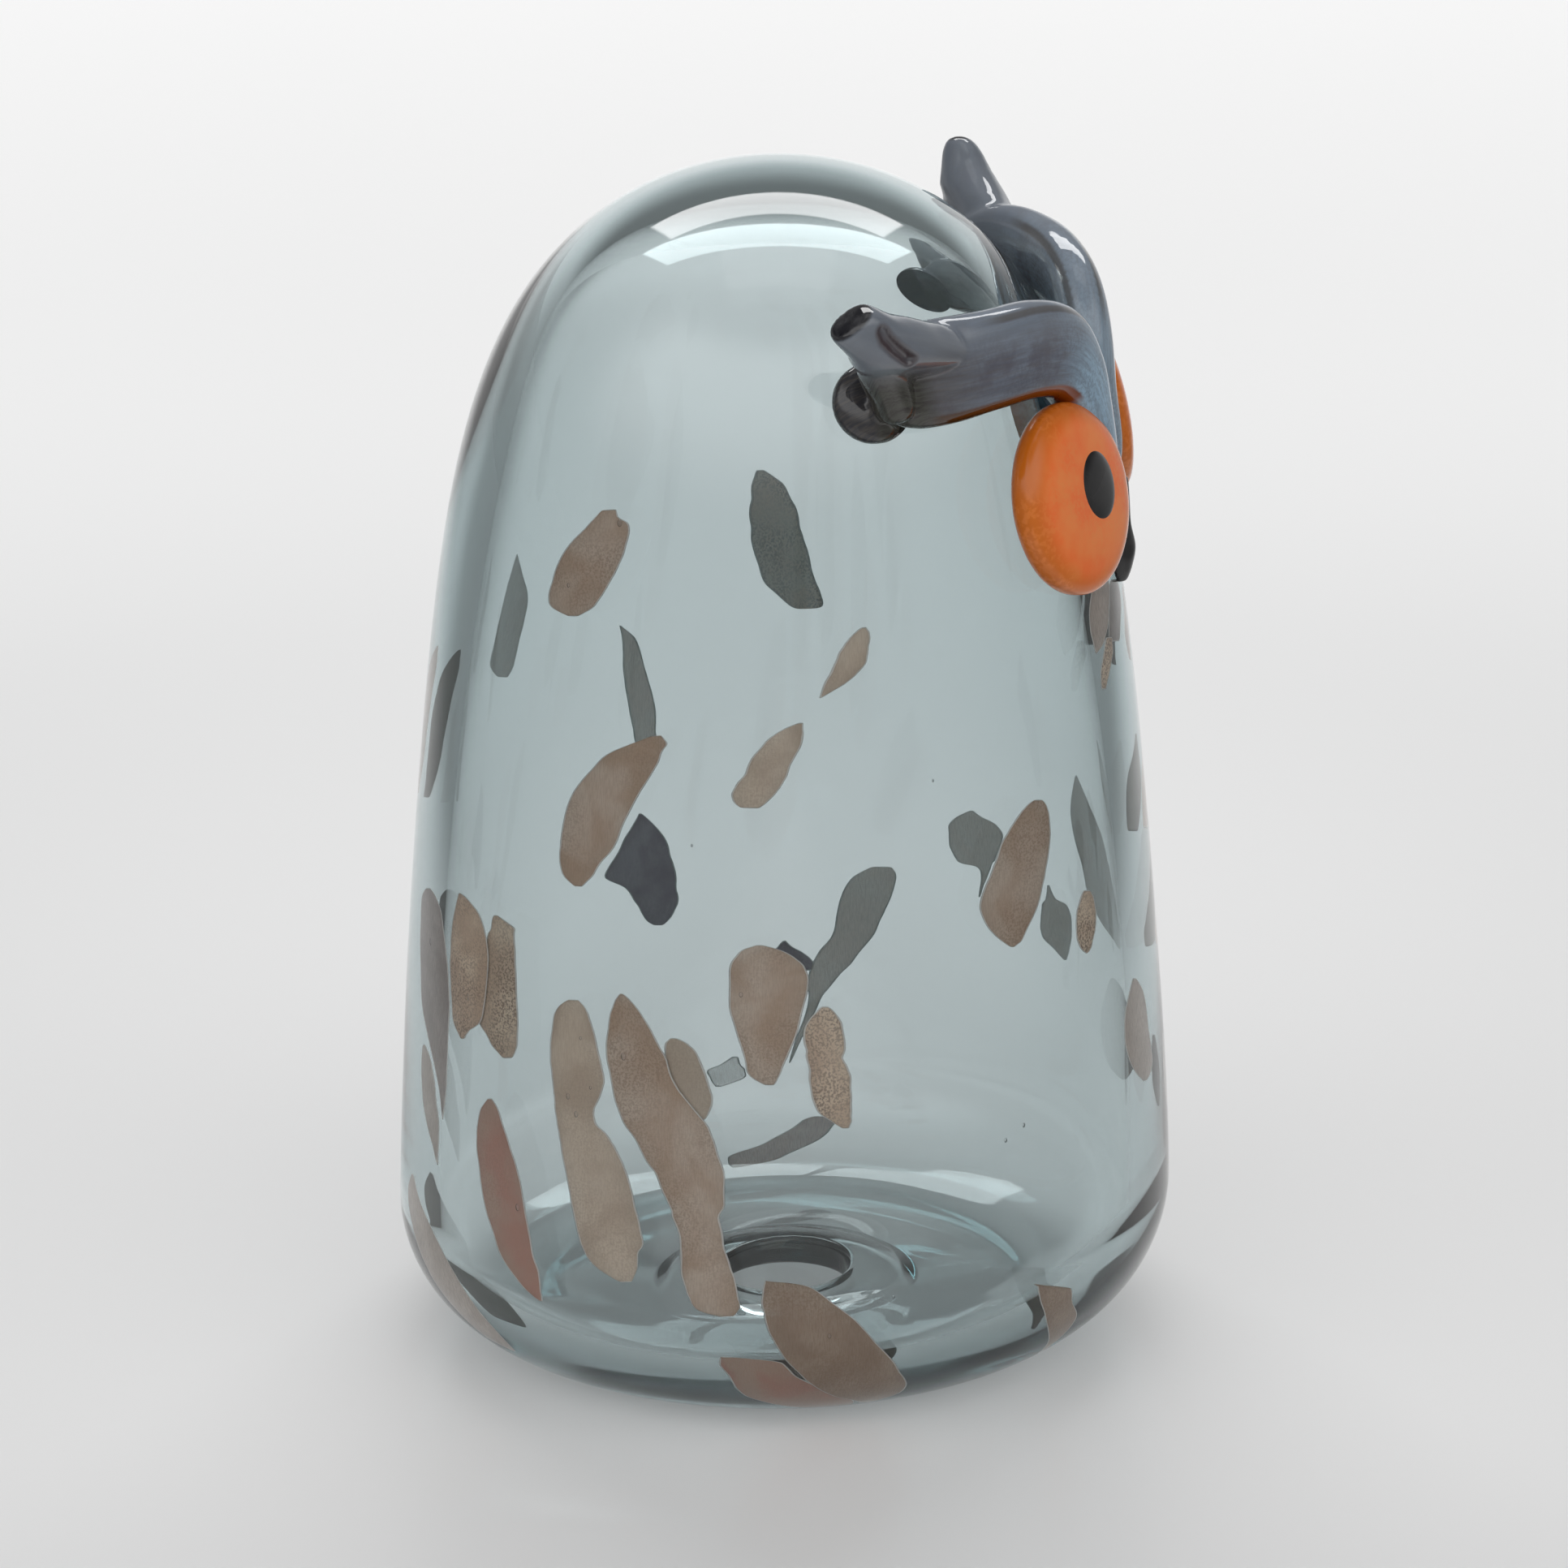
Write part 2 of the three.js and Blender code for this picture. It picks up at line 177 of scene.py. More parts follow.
# The two sides were made by hand and differ a little. Melt is how often the ear's root is smoothed,
# and tip is how many degrees the top of the eye leans out.
Side = namedtuple(
    "Side", "word sign brow ear ear_end_rounding melt eye_azimuth eye_height eye_proud eye_tip"
)
RIGHT = Side("right", 1, BROW_RIGHT, EAR_RIGHT, 7, 2, 21, 174, 7.2, 0)
LEFT = Side("left", -1, BROW_LEFT, EAR_LEFT, 2.1, 8, 23.5, 178.8, 7, 6)

# Eye
EYE_RADIUS = 18.1
EYE_EDGE_HEIGHT = 2.6
EYE_ROOT = 3.0
EYE_ROUNDING = 2.6
PUPIL_HALF_WIDTH = 6.4
PUPIL_HALF_HEIGHT = 7.1
PUPIL_PROUD = 0.7
PUPIL_DEPTH = 2.4
PUPIL_TOWARDS_BEAK = 3.0
PUPIL_ABOVE_CENTRE = 1.2

# Beak: a drop of glass on a thin stem
Drop = namedtuple("Drop", "height lift radius")
BEAK_ROWS = (
    Drop(171, 4.2, 1.3),
    Drop(166, 3.2, 1.5),
    Drop(162, 1.7, 2.5),
    Drop(157.6, 0.6, 3.7),
    Drop(154, 0.4, 2.7),
    Drop(151.4, 0.6, 1.2),
)
BEAK_END_ROUNDING = 8

# Applied glass is fused to the body: it reaches this far into the wall
FUSED = 0.12
WELD = 0.001

# Coloured chips, sealed just under the outside of the wall. A chip's place is an azimuth and a
# climb, which is the height up the wall, counted on round the corner and under the base. Each of
# its rows says how far above that place it is, and where its edges are, in millimetres, counted
# towards the owl's face. Slant tips the rows: so far up for each millimetre towards the face.
Chip = namedtuple("Chip", "side azimuth climb slant depth rows")
CHIP_HALF_THICKNESS = 0.28
NEAR_SURFACE = 0.45
DEEPER = 1.25
CORNER_TURN = 26.9  # radius of the corner, over which the wall is unrolled

CHIPS = {
    "brown": (
        Chip(RIGHT, 115, 169, 0.18, NEAR_SURFACE, (
            (10, 1, 4.5), (8.5, -0.5, 5), (7, -2, 7.5), (3.5, -5.5, 7.5), (0, -7.5, 6.5),
            (-3.5, -8.5, 5), (-7, -9, 3), (-9, -8, 1.5), (-10.5, -4, -1.5),
        )),
        Chip(RIGHT, 109, 124, 0.16, NEAR_SURFACE, (
            (15, 8.5, 11), (13, 3.5, 12), (11, -0.5, 11), (8, -3.5, 10), (3, -7.5, 7),
            (-3, -9.5, 4), (-8, -10, 2), (-11, -10, -0.5), (-14, -9, -2.5), (-16, -6.5, -4.5),
        )),
        Chip(RIGHT, 83, 88, 0, NEAR_SURFACE, (
            (12.5, -2, -0.5), (11.5, -4.5, 3), (10, -6, 5.5), (8, -7, 7.5), (5, -7, 8),
            (0.5, -7, 7), (-5, -5.5, 5.5), (-10, -4, 3.5), (-12.5, -3.5, 2.5), (-14.5, -0.5, 1.5),
        )),
        Chip(RIGHT, 97, 57, 0.09, NEAR_SURFACE, (
            (32, -11.5, -10.5), (30.5, -12.5, -8.5), (27.5, -13.5, -6), (23.5, -14, -3.5),
            (20, -14, -1.5), (16, -13, 0), (12, -12, 3), (8, -10, 6.5), (5, -7.5, 8),
            (1.5, -5.5, 9), (-1, -3.5, 10), (-4.5, -2, 10), (-7.5, -0.5, 10), (-9.5, 0, 9),
            (-12, 1, 9.5), (-15.5, 1.5, 10), (-19, 1.5, 11), (-22, 2, 12), (-25, 3, 12.5),
            (-27.5, 4.5, 13), (-29, 9, 12),
        )),
        Chip(RIGHT, 41, 107, -0.24, NEAR_SURFACE, (
            (14, 5, 7.5), (13, 3, 8.5), (11, 0.5, 9), (8.5, -2, 9), (6, -4, 8.5), (3, -5.5, 7.5),
            (0.5, -7, 6.5), (-2, -8.5, 5.5), (-5, -9.5, 4), (-8.5, -8, 1.5), (-11, -5.5, 0),
            (-12.5, -3, -2),
        )),
    ),
    "dark_brown": (
        Chip(RIGHT, 74, 20, -0.12, NEAR_SURFACE, (
            (15, -12.5, -8), (14, -12.5, -3.5), (10.5, -13, 1), (7.5, -12.5, 4.5), (4.5, -12, 7),
            (1, -10.5, 9.5), (-3, -8.5, 12.5), (-7.5, -5.5, 15), (-11.5, -2.5, 17),
            (-15.5, 1.5, 17), (-18.5, 6, 15), (-22, 9, 12),
        )),
        Chip(RIGHT, 35, 17, -0.4, NEAR_SURFACE, (
            (8, -8.5, -3.5), (7, -8, -0.5), (6.5, -7.5, 2), (3, -6.5, 3.5), (-1, -4.5, 7),
            (-5, -2, 7.5), (-10, 2, 6.5), (-15, 4, 6),
        )),
    ),
    "beige": (
        Chip(RIGHT, 110, 60, 0.17, NEAR_SURFACE, (
            (26, -6.5, -3.5), (24.5, -8.5, -2), (22.5, -9.5, -1), (18.5, -10, 0.5), (14.5, -10, 1.5),
            (11.5, -9.5, 2.5), (8.5, -9, 2), (5, -8.5, 0.5), (2.5, -8, 1), (1, -7.5, 3),
            (-1.5, -7, 5), (-5, -6, 7), (-9, -5, 8.5), (-13, -4, 9.5), (-17, -3, 10.5),
            (-19.5, -2, 11), (-21.5, -1, 10), (-24, 1.5, 10), (-26.5, 6, 9),
        )),
        Chip(RIGHT, 95, 74, 0.09, DEEPER, (
            (7.5, -3.5, -2), (6.5, -4.5, 0), (4.5, -4.5, 2), (1, -4, 3.5), (-2, -3, 4.5),
            (-4.5, -1, 5), (-7, 1, 4), (-8, 2, 3),
        )),
        Chip(RIGHT, 82, 134, 0, NEAR_SURFACE, (
            (8.5, 5, 6), (7.5, 2.5, 6), (6, 0, 6), (4, -2, 5.5), (1.5, -4, 4), (-1, -5, 3),
            (-3, -6.5, 2), (-5, -7.5, 0.5), (-6.5, -7, -1), (-7.5, -6, -2),
        )),
        Chip(RIGHT, 69, 154, -0.07, NEAR_SURFACE, (
            (5.5, 2.5, 3.5), (4.5, 1, 4), (3, -0.5, 4), (1, -2, 3.5), (-1, -3, 3), (-3, -4, 1),
            (-4.5, -5, -1), (-7, -6, -5.5),
        )),
    ),
    "rosy": (
        Chip(RIGHT, 126, 44, 0.25, NEAR_SURFACE, (
            (18.5, -6, -4.5), (16.5, -8, -2.5), (13.5, -9, -1), (10, -9, 1), (6, -8, 3), (2, -7, 4.5),
            (-2, -5.5, 5.5), (-5.5, -3.5, 6.5), (-9.5, -1.5, 7.5), (-13, 2, 9), (-16, 5.5, 9.5),
            (-18, 9, 10),
        )),
        Chip(RIGHT, 84, 13, 0, DEEPER, (
            (5.5, -8, -5), (4.5, -8, 2.5), (3, -8, 4.5), (0, -6.5, 6.5), (-4, -5.5, 11),
            (-7.5, -3.5, 15), (-12, 2, 19), (-17, 9, 20),
        )),
    ),
    "speckled_brown": (
        Chip(RIGHT, 138, 85, 0.3, NEAR_SURFACE, (
            (13.5, -3.5, -2.5), (12.5, -4, 0.5), (10, -5, 4.5), (7, -5.5, 6.5), (2.5, -5.5, 8),
            (-2, -5, 8), (-7, -4, 7.5), (-10.5, -3, 6.5), (-12.5, -1.5, 3), (-14, 0, 1.5),
        )),
        Chip(RIGHT, 129, 84, 0.27, DEEPER, (
            (13.5, -3, -1.5), (12.5, -3.5, 1), (11.5, -3.5, 3.5), (10, -4.5, 3.5), (6.5, -5, 4),
            (2, -6.5, 4.5), (-3, -7, 5), (-7, -6, 5.5), (-9, -3.5, 5.5), (-11, -1.5, 5.5),
            (-13, 1.5, 4.5),
        )),
        Chip(RIGHT, 74, 77, -0.05, NEAR_SURFACE, (
            (11.5, -1, 0.5), (10, -2.5, 2), (8, -4, 3), (5, -4.5, 3.5), (3, -4, 3.5), (1.5, -4, 3),
            (-0.5, -3.5, 4), (-3, -3.5, 4.5), (-6, -3, 4.5), (-9, -2, 4.5), (-11, 0.5, 4.5),
            (-12.5, 2.5, 4),
        )),
        Chip(RIGHT, 26, 94, -0.28, NEAR_SURFACE, (
            (6, -1, 1.5), (4.5, -2, 2.5), (2, -3.5, 3), (-1, -4, 2.5), (-3, -4, 1.5), (-5, -3, 0.5),
            (-6, -1.5, -1),
        )),
        Chip(RIGHT, 9, 139.5, -0.3, NEAR_SURFACE, (
            (4.5, -3, 0.5), (2, -5, 0), (-1, -7.5, -3), (-4, -8, -6),
        )),
    ),
    "pale": (
        Chip(RIGHT, 146, 24, 0, NEAR_SURFACE, (
            (14, -12, -10), (11.5, -14, -7.5), (9, -15, -3.5), (6, -14, 2), (3, -11, 6.5),
            (0, -8, 10.5), (-4, -4, 14.5), (-8, 0, 18), (-12, 5, 21), (-17, 10, 23),
        )),
        Chip(RIGHT, 163, 125, 0.35, NEAR_SURFACE, (
            (15.5, 4.5, 6), (13.5, 1, 6), (9.5, -4, 6), (4.5, -6.5, 4.5), (0, -8, 3.5), (-4.5, -8, 2.5),
            (-9.5, -8, 1.5), (-14, -8, -0.5), (-18, -9, -3),
        )),
        Chip(RIGHT, 148, 55, 0.33, DEEPER, (
            (9.5, -5, -3.5), (7.5, -5.5, -0.5), (4, -5, 2), (0, -3.5, 3.5), (-3.5, -1, 5),
            (-7, 2, 5), (-10.5, 4.5, 5),
        )),
        Chip(RIGHT, 12, 65, -0.33, NEAR_SURFACE, (
            (12, -1.5, 0.5), (9, -3.5, 4), (5, -6, 5.5), (0.5, -7, 6), (-4, -6.5, 7), (-8.5, -4, 7),
            (-11.5, 0.5, 3),
        )),
        Chip(RIGHT, 14, 148, -0.35, NEAR_SURFACE, (
            (7.5, -1, 9), (5.5, -1, 8.5), (2.5, -3, 6.5), (-0.5, -4, 4.5), (-3.5, -3.5, 1),
            (-5, -3, -2.5),
        )),
        Chip(RIGHT, -4, 141, -0.4, NEAR_SURFACE, (
            (7.5, -0.5, 3), (3, -1.5, 3.5), (-1, -4.5, 1.5), (-4.5, -4, 0), (-6.5, -2.5, 0),
        )),
    ),
    "grey": (
        Chip(RIGHT, 148, 76, 0.33, NEAR_SURFACE, (
            (18.5, -7.5, -4.5), (17, -10, -1), (14, -10, 2.5), (9.5, -9.5, 4.5), (4.5, -8, 6.5),
            (-2, -6, 8), (-7, -2, 8), (-12, 2, 8), (-17, 5, 8), (-22, 6.5, 7),
        )),
        Chip(RIGHT, 7, 145.5, -0.3, DEEPER, (
            (7, 2, 9), (3, 0, 9.5), (0, -2, 6.5), (-3.5, -3.5, 3.5),
        )),
        Chip(RIGHT, -5, 48, -0.4, NEAR_SURFACE, (
            (8, -2, 0.5), (4, -3.5, 2), (0, -4, 3), (-4, -3.5, 2.5), (-8, -1, 1),
        )),
    ),
    "ash": (
        Chip(LEFT, 165, 135, -0.32, NEAR_SURFACE, (
            (12.5, -1, -0.5), (8.5, -3, 4), (3.5, -5, 8.5), (-1, -6.5, 8), (-5.5, -8, 6.5),
            (-9, -9, 5.5), (-12, -3, 3.5),
        )),
        Chip(LEFT, 126, 108, -0.17, NEAR_SURFACE, (
            (14.5, -6, -5.5), (11.5, -5, -1.5), (7.5, -4.5, 0.5), (3.5, -4, 2), (-0.5, -3, 3.5),
            (-4.5, -2, 4.5), (-8, -1, 4.5), (-10.5, -0.5, 5), (-13, -0.5, 5),
        )),
        Chip(LEFT, 63, 75, 0.22, NEAR_SURFACE, (
            (9.5, -2.5, -1), (8, -6, 1), (6.5, -8, 5), (4.5, -8, 7), (2, -8, 6), (-1, -6.5, 4.5),
            (-2, -5, 3.5), (-2.5, -1, 3), (-4.5, 0, 2), (-7.5, -0.5, 0.5), (-10, -1, -0.5),
        )),
        Chip(LEFT, 44, 65, 0.3, NEAR_SURFACE, (
            (8.5, -3, -2), (5.5, -4, 0), (4.5, -5.5, 4.5), (2, -6, 6.5), (-1, -6.5, 6.5),
            (-3.5, -5.5, 6), (-5.5, -2, 5), (-8, 2, 3.5),
        )),
        Chip(LEFT, 22, 87, 0.33, NEAR_SURFACE, (
            (15.5, -13, -11.5), (13, -15, -9), (10, -17, -5.5), (7, -17.5, -1), (4, -16.5, 4.5),
            (1, -14.5, 8), (-1.5, -13, 11), (-4.5, -12, 14), (-6, -9, 16), (-8, -7, 19),
            (-9.5, -3, 21.5), (-10.5, 4, 24), (-11.5, 16, 24),
        )),
        Chip(LEFT, 12, 109, 0.35, NEAR_SURFACE, (
            (8, -0.5, 1), (5, -0.5, 5), (1.5, -0.5, 11), (-2, 2, 14), (-8, 8, 16),
        )),
        Chip(LEFT, 89, 51, 0.08, NEAR_SURFACE, (
            (17.5, 6, 11.5), (16, 3.5, 12), (14.5, 1.5, 12), (11, -0.5, 11), (7.5, -1.5, 9.5),
            (4.5, -2, 8), (1, -3, 6.5), (-2, -5.5, 4), (-5.5, -7.5, 1.5), (-8, -8, -1),
            (-10.5, -8.5, -3), (-13, -8, -5), (-17.5, -9, -7), (-22.5, -11, -9.5), (-28.5, -12.5, -12),
        )),
    ),
    "mauve": (
        Chip(LEFT, 100, 2, 0, NEAR_SURFACE, (
            (7, 6.5, 8.5), (6, 4.5, 11), (4, 2.5, 10.5), (1.5, -1, 9), (-1, -5, 6), (-3.5, -11.5, 2),
            (-6, -12.5, -2), (-8, -12, -10),
        )),
    ),
    "pearl": (
        Chip(LEFT, 109, 21, -0.12, NEAR_SURFACE, (
            (4, 1, 2.5), (2, -1.5, 3), (0.5, -4.5, 4), (-1.5, -4, 3.5), (-3.5, -3, -1.5),
        )),
    ),
    "purple_grey": (
        Chip(LEFT, 123, 69, -0.17, DEEPER, (
            (13.5, -3, -2), (10.5, -4.5, 1.5), (7.5, -6.5, 4), (4.5, -8, 5), (2, -10, 6),
            (-0.5, -11, 6.5), (-3, -6, 6.5), (-5.5, -4, 7), (-7.5, -2.5, 6.5), (-10, -1, 5),
            (-11.5, 1, 3.5),
        )),
        Chip(LEFT, 99, 49, 0, NEAR_SURFACE, (
            (2, -0.5, 0), (0.5, -2, 1.5), (-1, -3.5, 4), (-3, -3.5, 6), (-5, -1, 6),
        )),
    ),
    "speckled_dark": (
        Chip(LEFT, 99, 134, 0, NEAR_SURFACE, (
            (14, -6, -4), (12.5, -6.5, -1.5), (11, -7, 0.5), (8.5, -7, 2), (6, -7.5, 3.5),
            (3, -7, 4), (0.5, -7, 5), (-2.5, -6, 6), (-5, -5, 6.5), (-7.5, -4, 7.5),
            (-10, -1, 8.5), (-12, 1.5, 8.5), (-12.5, 3, 4.5),
        )),
    ),
}
# Bubbles in the glass over the chips, as azimuths, climbs and half widths
BUBBLES = (
    (149.7, 85, 0.45), (136.2, 79.5, 0.5), (104.9, 77, 0.5), (114.2, 67.5, 0.4), (112.7, 64.5, 0.4),
    (112.2, 79, 0.25), (123.3, 44, 0.5), (86.8, 91, 0.35), (109.9, 177, 0.5), (74.2, 23.5, 0.35),
    (64.8, 30, 0.25), (110.3, 70, 0.25), (94.5, 119, 0.2), (46.1, 56.5, 0.3), (42.7, 58.5, 0.3),
    (119, 164, 0.3), (56, 129.5, 0.2),
)
BUBBLE_DEPTH = 0.24
BUBBLE_THICKNESS = 0.16
BUBBLE_STRETCH = 1.5
CHIP_WAVER = 0.16  # how far a chip's edge strays from its rows
CHIP_SIDES = 24
CHIP_END_ROUNDING = 9
CHIP_END_FULLNESS = 3  # how fast a chip grows to its full thickness from its ends
CHIP_LEAST_REACH = 20  # nearer the axis than this, a chip isn't spread over more degrees


# Camera


def make_camera():
    pitch = math.radians(CAMERA_PITCH)
    towards = UP * math.sin(pitch) - BACK * math.cos(pitch)
    right = UP.cross(towards).normalized()
    upward = towards.cross(right)
    turn = math.radians(CAMERA_ROLL)
    rolled_right = right * math.cos(turn) + upward * math.sin(turn)
    rolled_up = towards.cross(rolled_right)
    aim = UP * AIM_HEIGHT + right * AIM_SIDEWAYS
    data = bpy.data.cameras.new("camera")
    data.sensor_width = SENSOR_WIDTH
    data.lens = SENSOR_WIDTH * FOCAL_LENGTH_PX / PHOTO_SIDE_PX
    data.clip_start = 0.05
    data.clip_end = 50
    camera = bpy.data.objects.new("camera", data)
    bpy.context.scene.collection.objects.link(camera)
    camera.matrix_world = Matrix.Translation(aim + towards * CAMERA_DISTANCE) @ Matrix(
        (rolled_right, rolled_up, towards)
    ).transposed().to_4x4()
    bpy.context.scene.camera = camera


# Shader nodes


def fill(tree, socket, value):
    """Joins a socket to another node's, or sets it. A colour is given as red, green and blue."""
    if isinstance(value, bpy.types.NodeSocket):
        tree.links.new(value, socket)
    elif socket.type == "RGBA":
        socket.default_value = (*value, 1)
    else:
        socket.default_value = value


def add_node(tree, kind, inputs=None, **settings):
    """A new node, with its settings, and its inputs either set or joined to another node's socket."""
    node = tree.nodes.new(kind)
    for name, value in settings.items():
        setattr(node, name, value)
    for name, value in (inputs or {}).items():
        fill(tree, node.inputs[name], value)
    return node


def maths(tree, operation, first, second=0.0):
    return add_node(tree, "ShaderNodeMath", {0: first, 1: second}, operation=operation).outputs[0]


def times(tree, first, second):
    return maths(tree, "MULTIPLY", first, second)


def plus(tree, first, second):
    return maths(tree, "ADD", first, second)


def rest_of(tree, share):
    return maths(tree, "SUBTRACT", 1.0, share)


def dot(tree, first, second):
    node = add_node(tree, "ShaderNodeVectorMath", {0: first, 1: second}, operation="DOT_PRODUCT")
    return node.outputs["Value"]


def mixed(tree, factor, first, second):
    """One colour where factor is 0 and the other where it is 1."""
    node = add_node(tree, "ShaderNodeMix", data_type="RGBA")
    for name, value in (("Factor_Float", factor), ("A_Color", first), ("B_Color", second)):
        fill(tree, next(s for s in node.inputs if s.identifier == name), value)
    return next(s for s in node.outputs if s.identifier == "Result_Color")


def ramp(tree, value, low, high, start=0.0, end=1.0):
    """Turns low..high into start..end, smoothly, and keeps it there outside."""
    inputs = {"Value": value, "From Min": low, "From Max": high, "To Min": start, "To Max": end}
    node = add_node(tree, "ShaderNodeMapRange", inputs, interpolation_type="SMOOTHSTEP")
    return node.outputs["Result"]


def band(tree, value, low, high, soft):
    """1 between low and high, 0 outside, with soft edges."""
    return times(tree, ramp(tree, value, low - soft, low), ramp(tree, value, high + soft, high))


def cloudy(tree, place, scale, detail, roughness=0.5, distortion=0.0):
    """Noise around a half."""
    inputs = {
        "Vector": place, "Scale": scale, "Detail": detail, "Roughness": roughness, "Distortion": distortion
    }
    return add_node(tree, "ShaderNodeTexNoise", inputs).outputs["Fac"]


def new_group(name, inputs, outputs):
    """A shader node group with named sockets. Returns the tree, its inputs and its output node."""
    tree = bpy.data.node_groups.new(name, "ShaderNodeTree")
    for title, kind, value in inputs:
        socket = tree.interface.new_socket(title, in_out="INPUT", socket_type=kind)
        if value is not None:
            socket.default_value = value
    for title, kind in outputs:
        tree.interface.new_socket(title, in_out="OUTPUT", socket_type=kind)
    entry = tree.nodes.new("NodeGroupInput")
    leave = tree.nodes.new("NodeGroupOutput")
    return tree, entry.outputs, leave.inputs


def use_group(tree, group, inputs):
    return add_node(tree, "ShaderNodeGroup", inputs, node_tree=group).outputs


def new_material(name, **plain):
    """A material with one Principled shader, whose plain values are given by socket name."""
    material = bpy.data.materials.new(name)
    material.use_nodes = True
    tree = material.node_tree
    shader = next(n for n in tree.nodes if n.type == "BSDF_PRINCIPLED")
    for title, value in plain.items():
        fill(tree, shader.inputs[title.replace("_", " ")], value)
    place = tree.nodes.new("ShaderNodeTexCoord").outputs["Object"]
    return material, tree, shader, place


def attribute(tree, name):
    return add_node(tree, "ShaderNodeAttribute", attribute_name=name).outputs["Fac"]


# Effects that several kinds of glass share

FLOAT, VECTOR = "NodeSocketFloat", "NodeSocketVector"


def make_speckle_group():
    """Fine grains of powdered glass: a mask from 0 to 1, with clouds that thin it out."""
    wanted = (("Place", VECTOR, None), ("Scale", FLOAT, 2500.0), ("Cloud Scale", FLOAT, 90.0))
    tree, given, result = new_group("fine_speckle", wanted, (("Mask", FLOAT),))
    grains = cloudy(tree, given["Place"], given["Scale"], 1.0, 0.6)
    clouds = cloudy(tree, given["Place"], given["Cloud Scale"], 2.0)
    mask = times(tree, ramp(tree, grains, 0.42, 0.62), ramp(tree, clouds, 0.3, 0.65))
    tree.links.new(mask, result["Mask"])
    return tree


def make_streak_group():
    """Drawn-out streaks along a piece, from its own along and around attributes in millimetres."""
    wanted = (
        ("Along", FLOAT, 0.0), ("Around", FLOAT, 0.0), ("Stretch", FLOAT, 0.06), ("Scale", FLOAT, 1.0)
    )
    tree, given, result = new_group("drawn_streaks", wanted, (("Mask", FLOAT), ("Fine", FLOAT)))
    pulled = times(tree, given["Along"], given["Stretch"])
    place = add_node(tree, "ShaderNodeCombineXYZ", {"X": pulled, "Y": given["Around"]}).outputs[0]
    broad = cloudy(tree, place, given["Scale"], 5.0, 0.62, 0.4)
    fine = cloudy(tree, place, times(tree, given["Scale"], 3.4), 3.0, 0.7)
    tree.links.new(ramp(tree, broad, 0.32, 0.68), result["Mask"])
    tree.links.new(ramp(tree, fine, 0.4, 0.66), result["Fine"])
    return tree


def make_waviness_group():
    """The slight unevenness of hand-worked glass, as a normal."""
    wanted = (("Place", VECTOR, None), ("Scale", FLOAT, 30.0), ("Height", FLOAT, 0.0001))
    tree, given, result = new_group("hand_worked", wanted, (("Normal", VECTOR),))
    waves = cloudy(tree, given["Place"], given["Scale"], 1.5, 0.4)
    bump = add_node(tree, "ShaderNodeBump", {"Height": waves, "Distance": given["Height"], "Strength": 1.0})
    tree.links.new(bump.outputs["Normal"], result["Normal"])
    return tree


def make_uneven(tree, shader, waviness, place, scale, height):
    waves = use_group(tree, waviness, {"Place": place, "Scale": scale, "Height": height})
    tree.links.new(waves["Normal"], shader.inputs["Normal"])


# Kinds of glass

BODY_COLOUR = (0.39, 0.545, 0.565)
BODY_DENSITY = 59.0
GLASS_IOR = 1.5
AIR_IN_GLASS = 0.667


def clear_grey_glass(waviness):
    material, tree, shader, place = new_material(
        "clear_grey_glass", Base_Color=(1, 1, 1), Roughness=0.0, IOR=GLASS_IOR, Transmission_Weight=1.0
    )
    make_uneven(tree, shader, waviness, place, 22.0, 0.00006)
    tint = add_node(
        tree, "ShaderNodeVolumeAbsorption", {"Color": BODY_COLOUR, "Density": BODY_DENSITY}
    )
    output = next(n for n in tree.nodes if n.type == "OUTPUT_MATERIAL")
    tree.links.new(tint.outputs[0], output.inputs["Volume"])
    return material


# Colours of the slate glass. Each pair is the two colours that a pattern mixes.
BROWNISH = ((0.095, 0.092, 0.098), (0.14, 0.142, 0.155))
BLUISH = ((0.13, 0.145, 0.185), (0.19, 0.22, 0.275))
PALE_BLUE = ((0.30, 0.43, 0.55), (0.36, 0.54, 0.70))
# Orange-brown of the thin lower edge: partly its own colour, partly a painted reflection of the orange eye
EDGE_ORANGE_AND_EYE_REFLECTION = ((0.05, 0.02, 0.005), (0.21, 0.036, 0.0))
# Painted shade on the fold under the ear: two darks mixed by streaks
NECK_PAINTED_SHADE = ((0.06, 0.06, 0.046), (0.025, 0.02, 0.016))
FOOT_GREY = ((0.034, 0.034, 0.04), (0.085, 0.075, 0.065))
CUT_BLACK = ((0.006, 0.006, 0.010), (0.04, 0.04, 0.044))
# A painted sheen: the left brow made paler and bluer, standing in for the sky it reflects
LEFT_BROW_PAINTED_SHEEN = (0.25, 0.30, 0.35)
PURPLE_PATCH = (0.085, 0.075, 0.095)
BROWN_HAIR = (0.12, 0.10, 0.085)
DARK_GRAIN = (0.10, 0.10, 0.12)
# A painted sheen that makes the upper half of the strip paler and bluer
UPPER_PAINTED_SHEEN = (0.24, 0.285, 0.34)
UPPER_LINE = (0.085, 0.065, 0.045)
# Streaks in that orange-brown and painted eye reflection
EDGE_ORANGE_AND_REFLECTION_STREAK = (0.13, 0.035, 0.004)
CREASE_BROWN = (0.05, 0.018, 0.014)


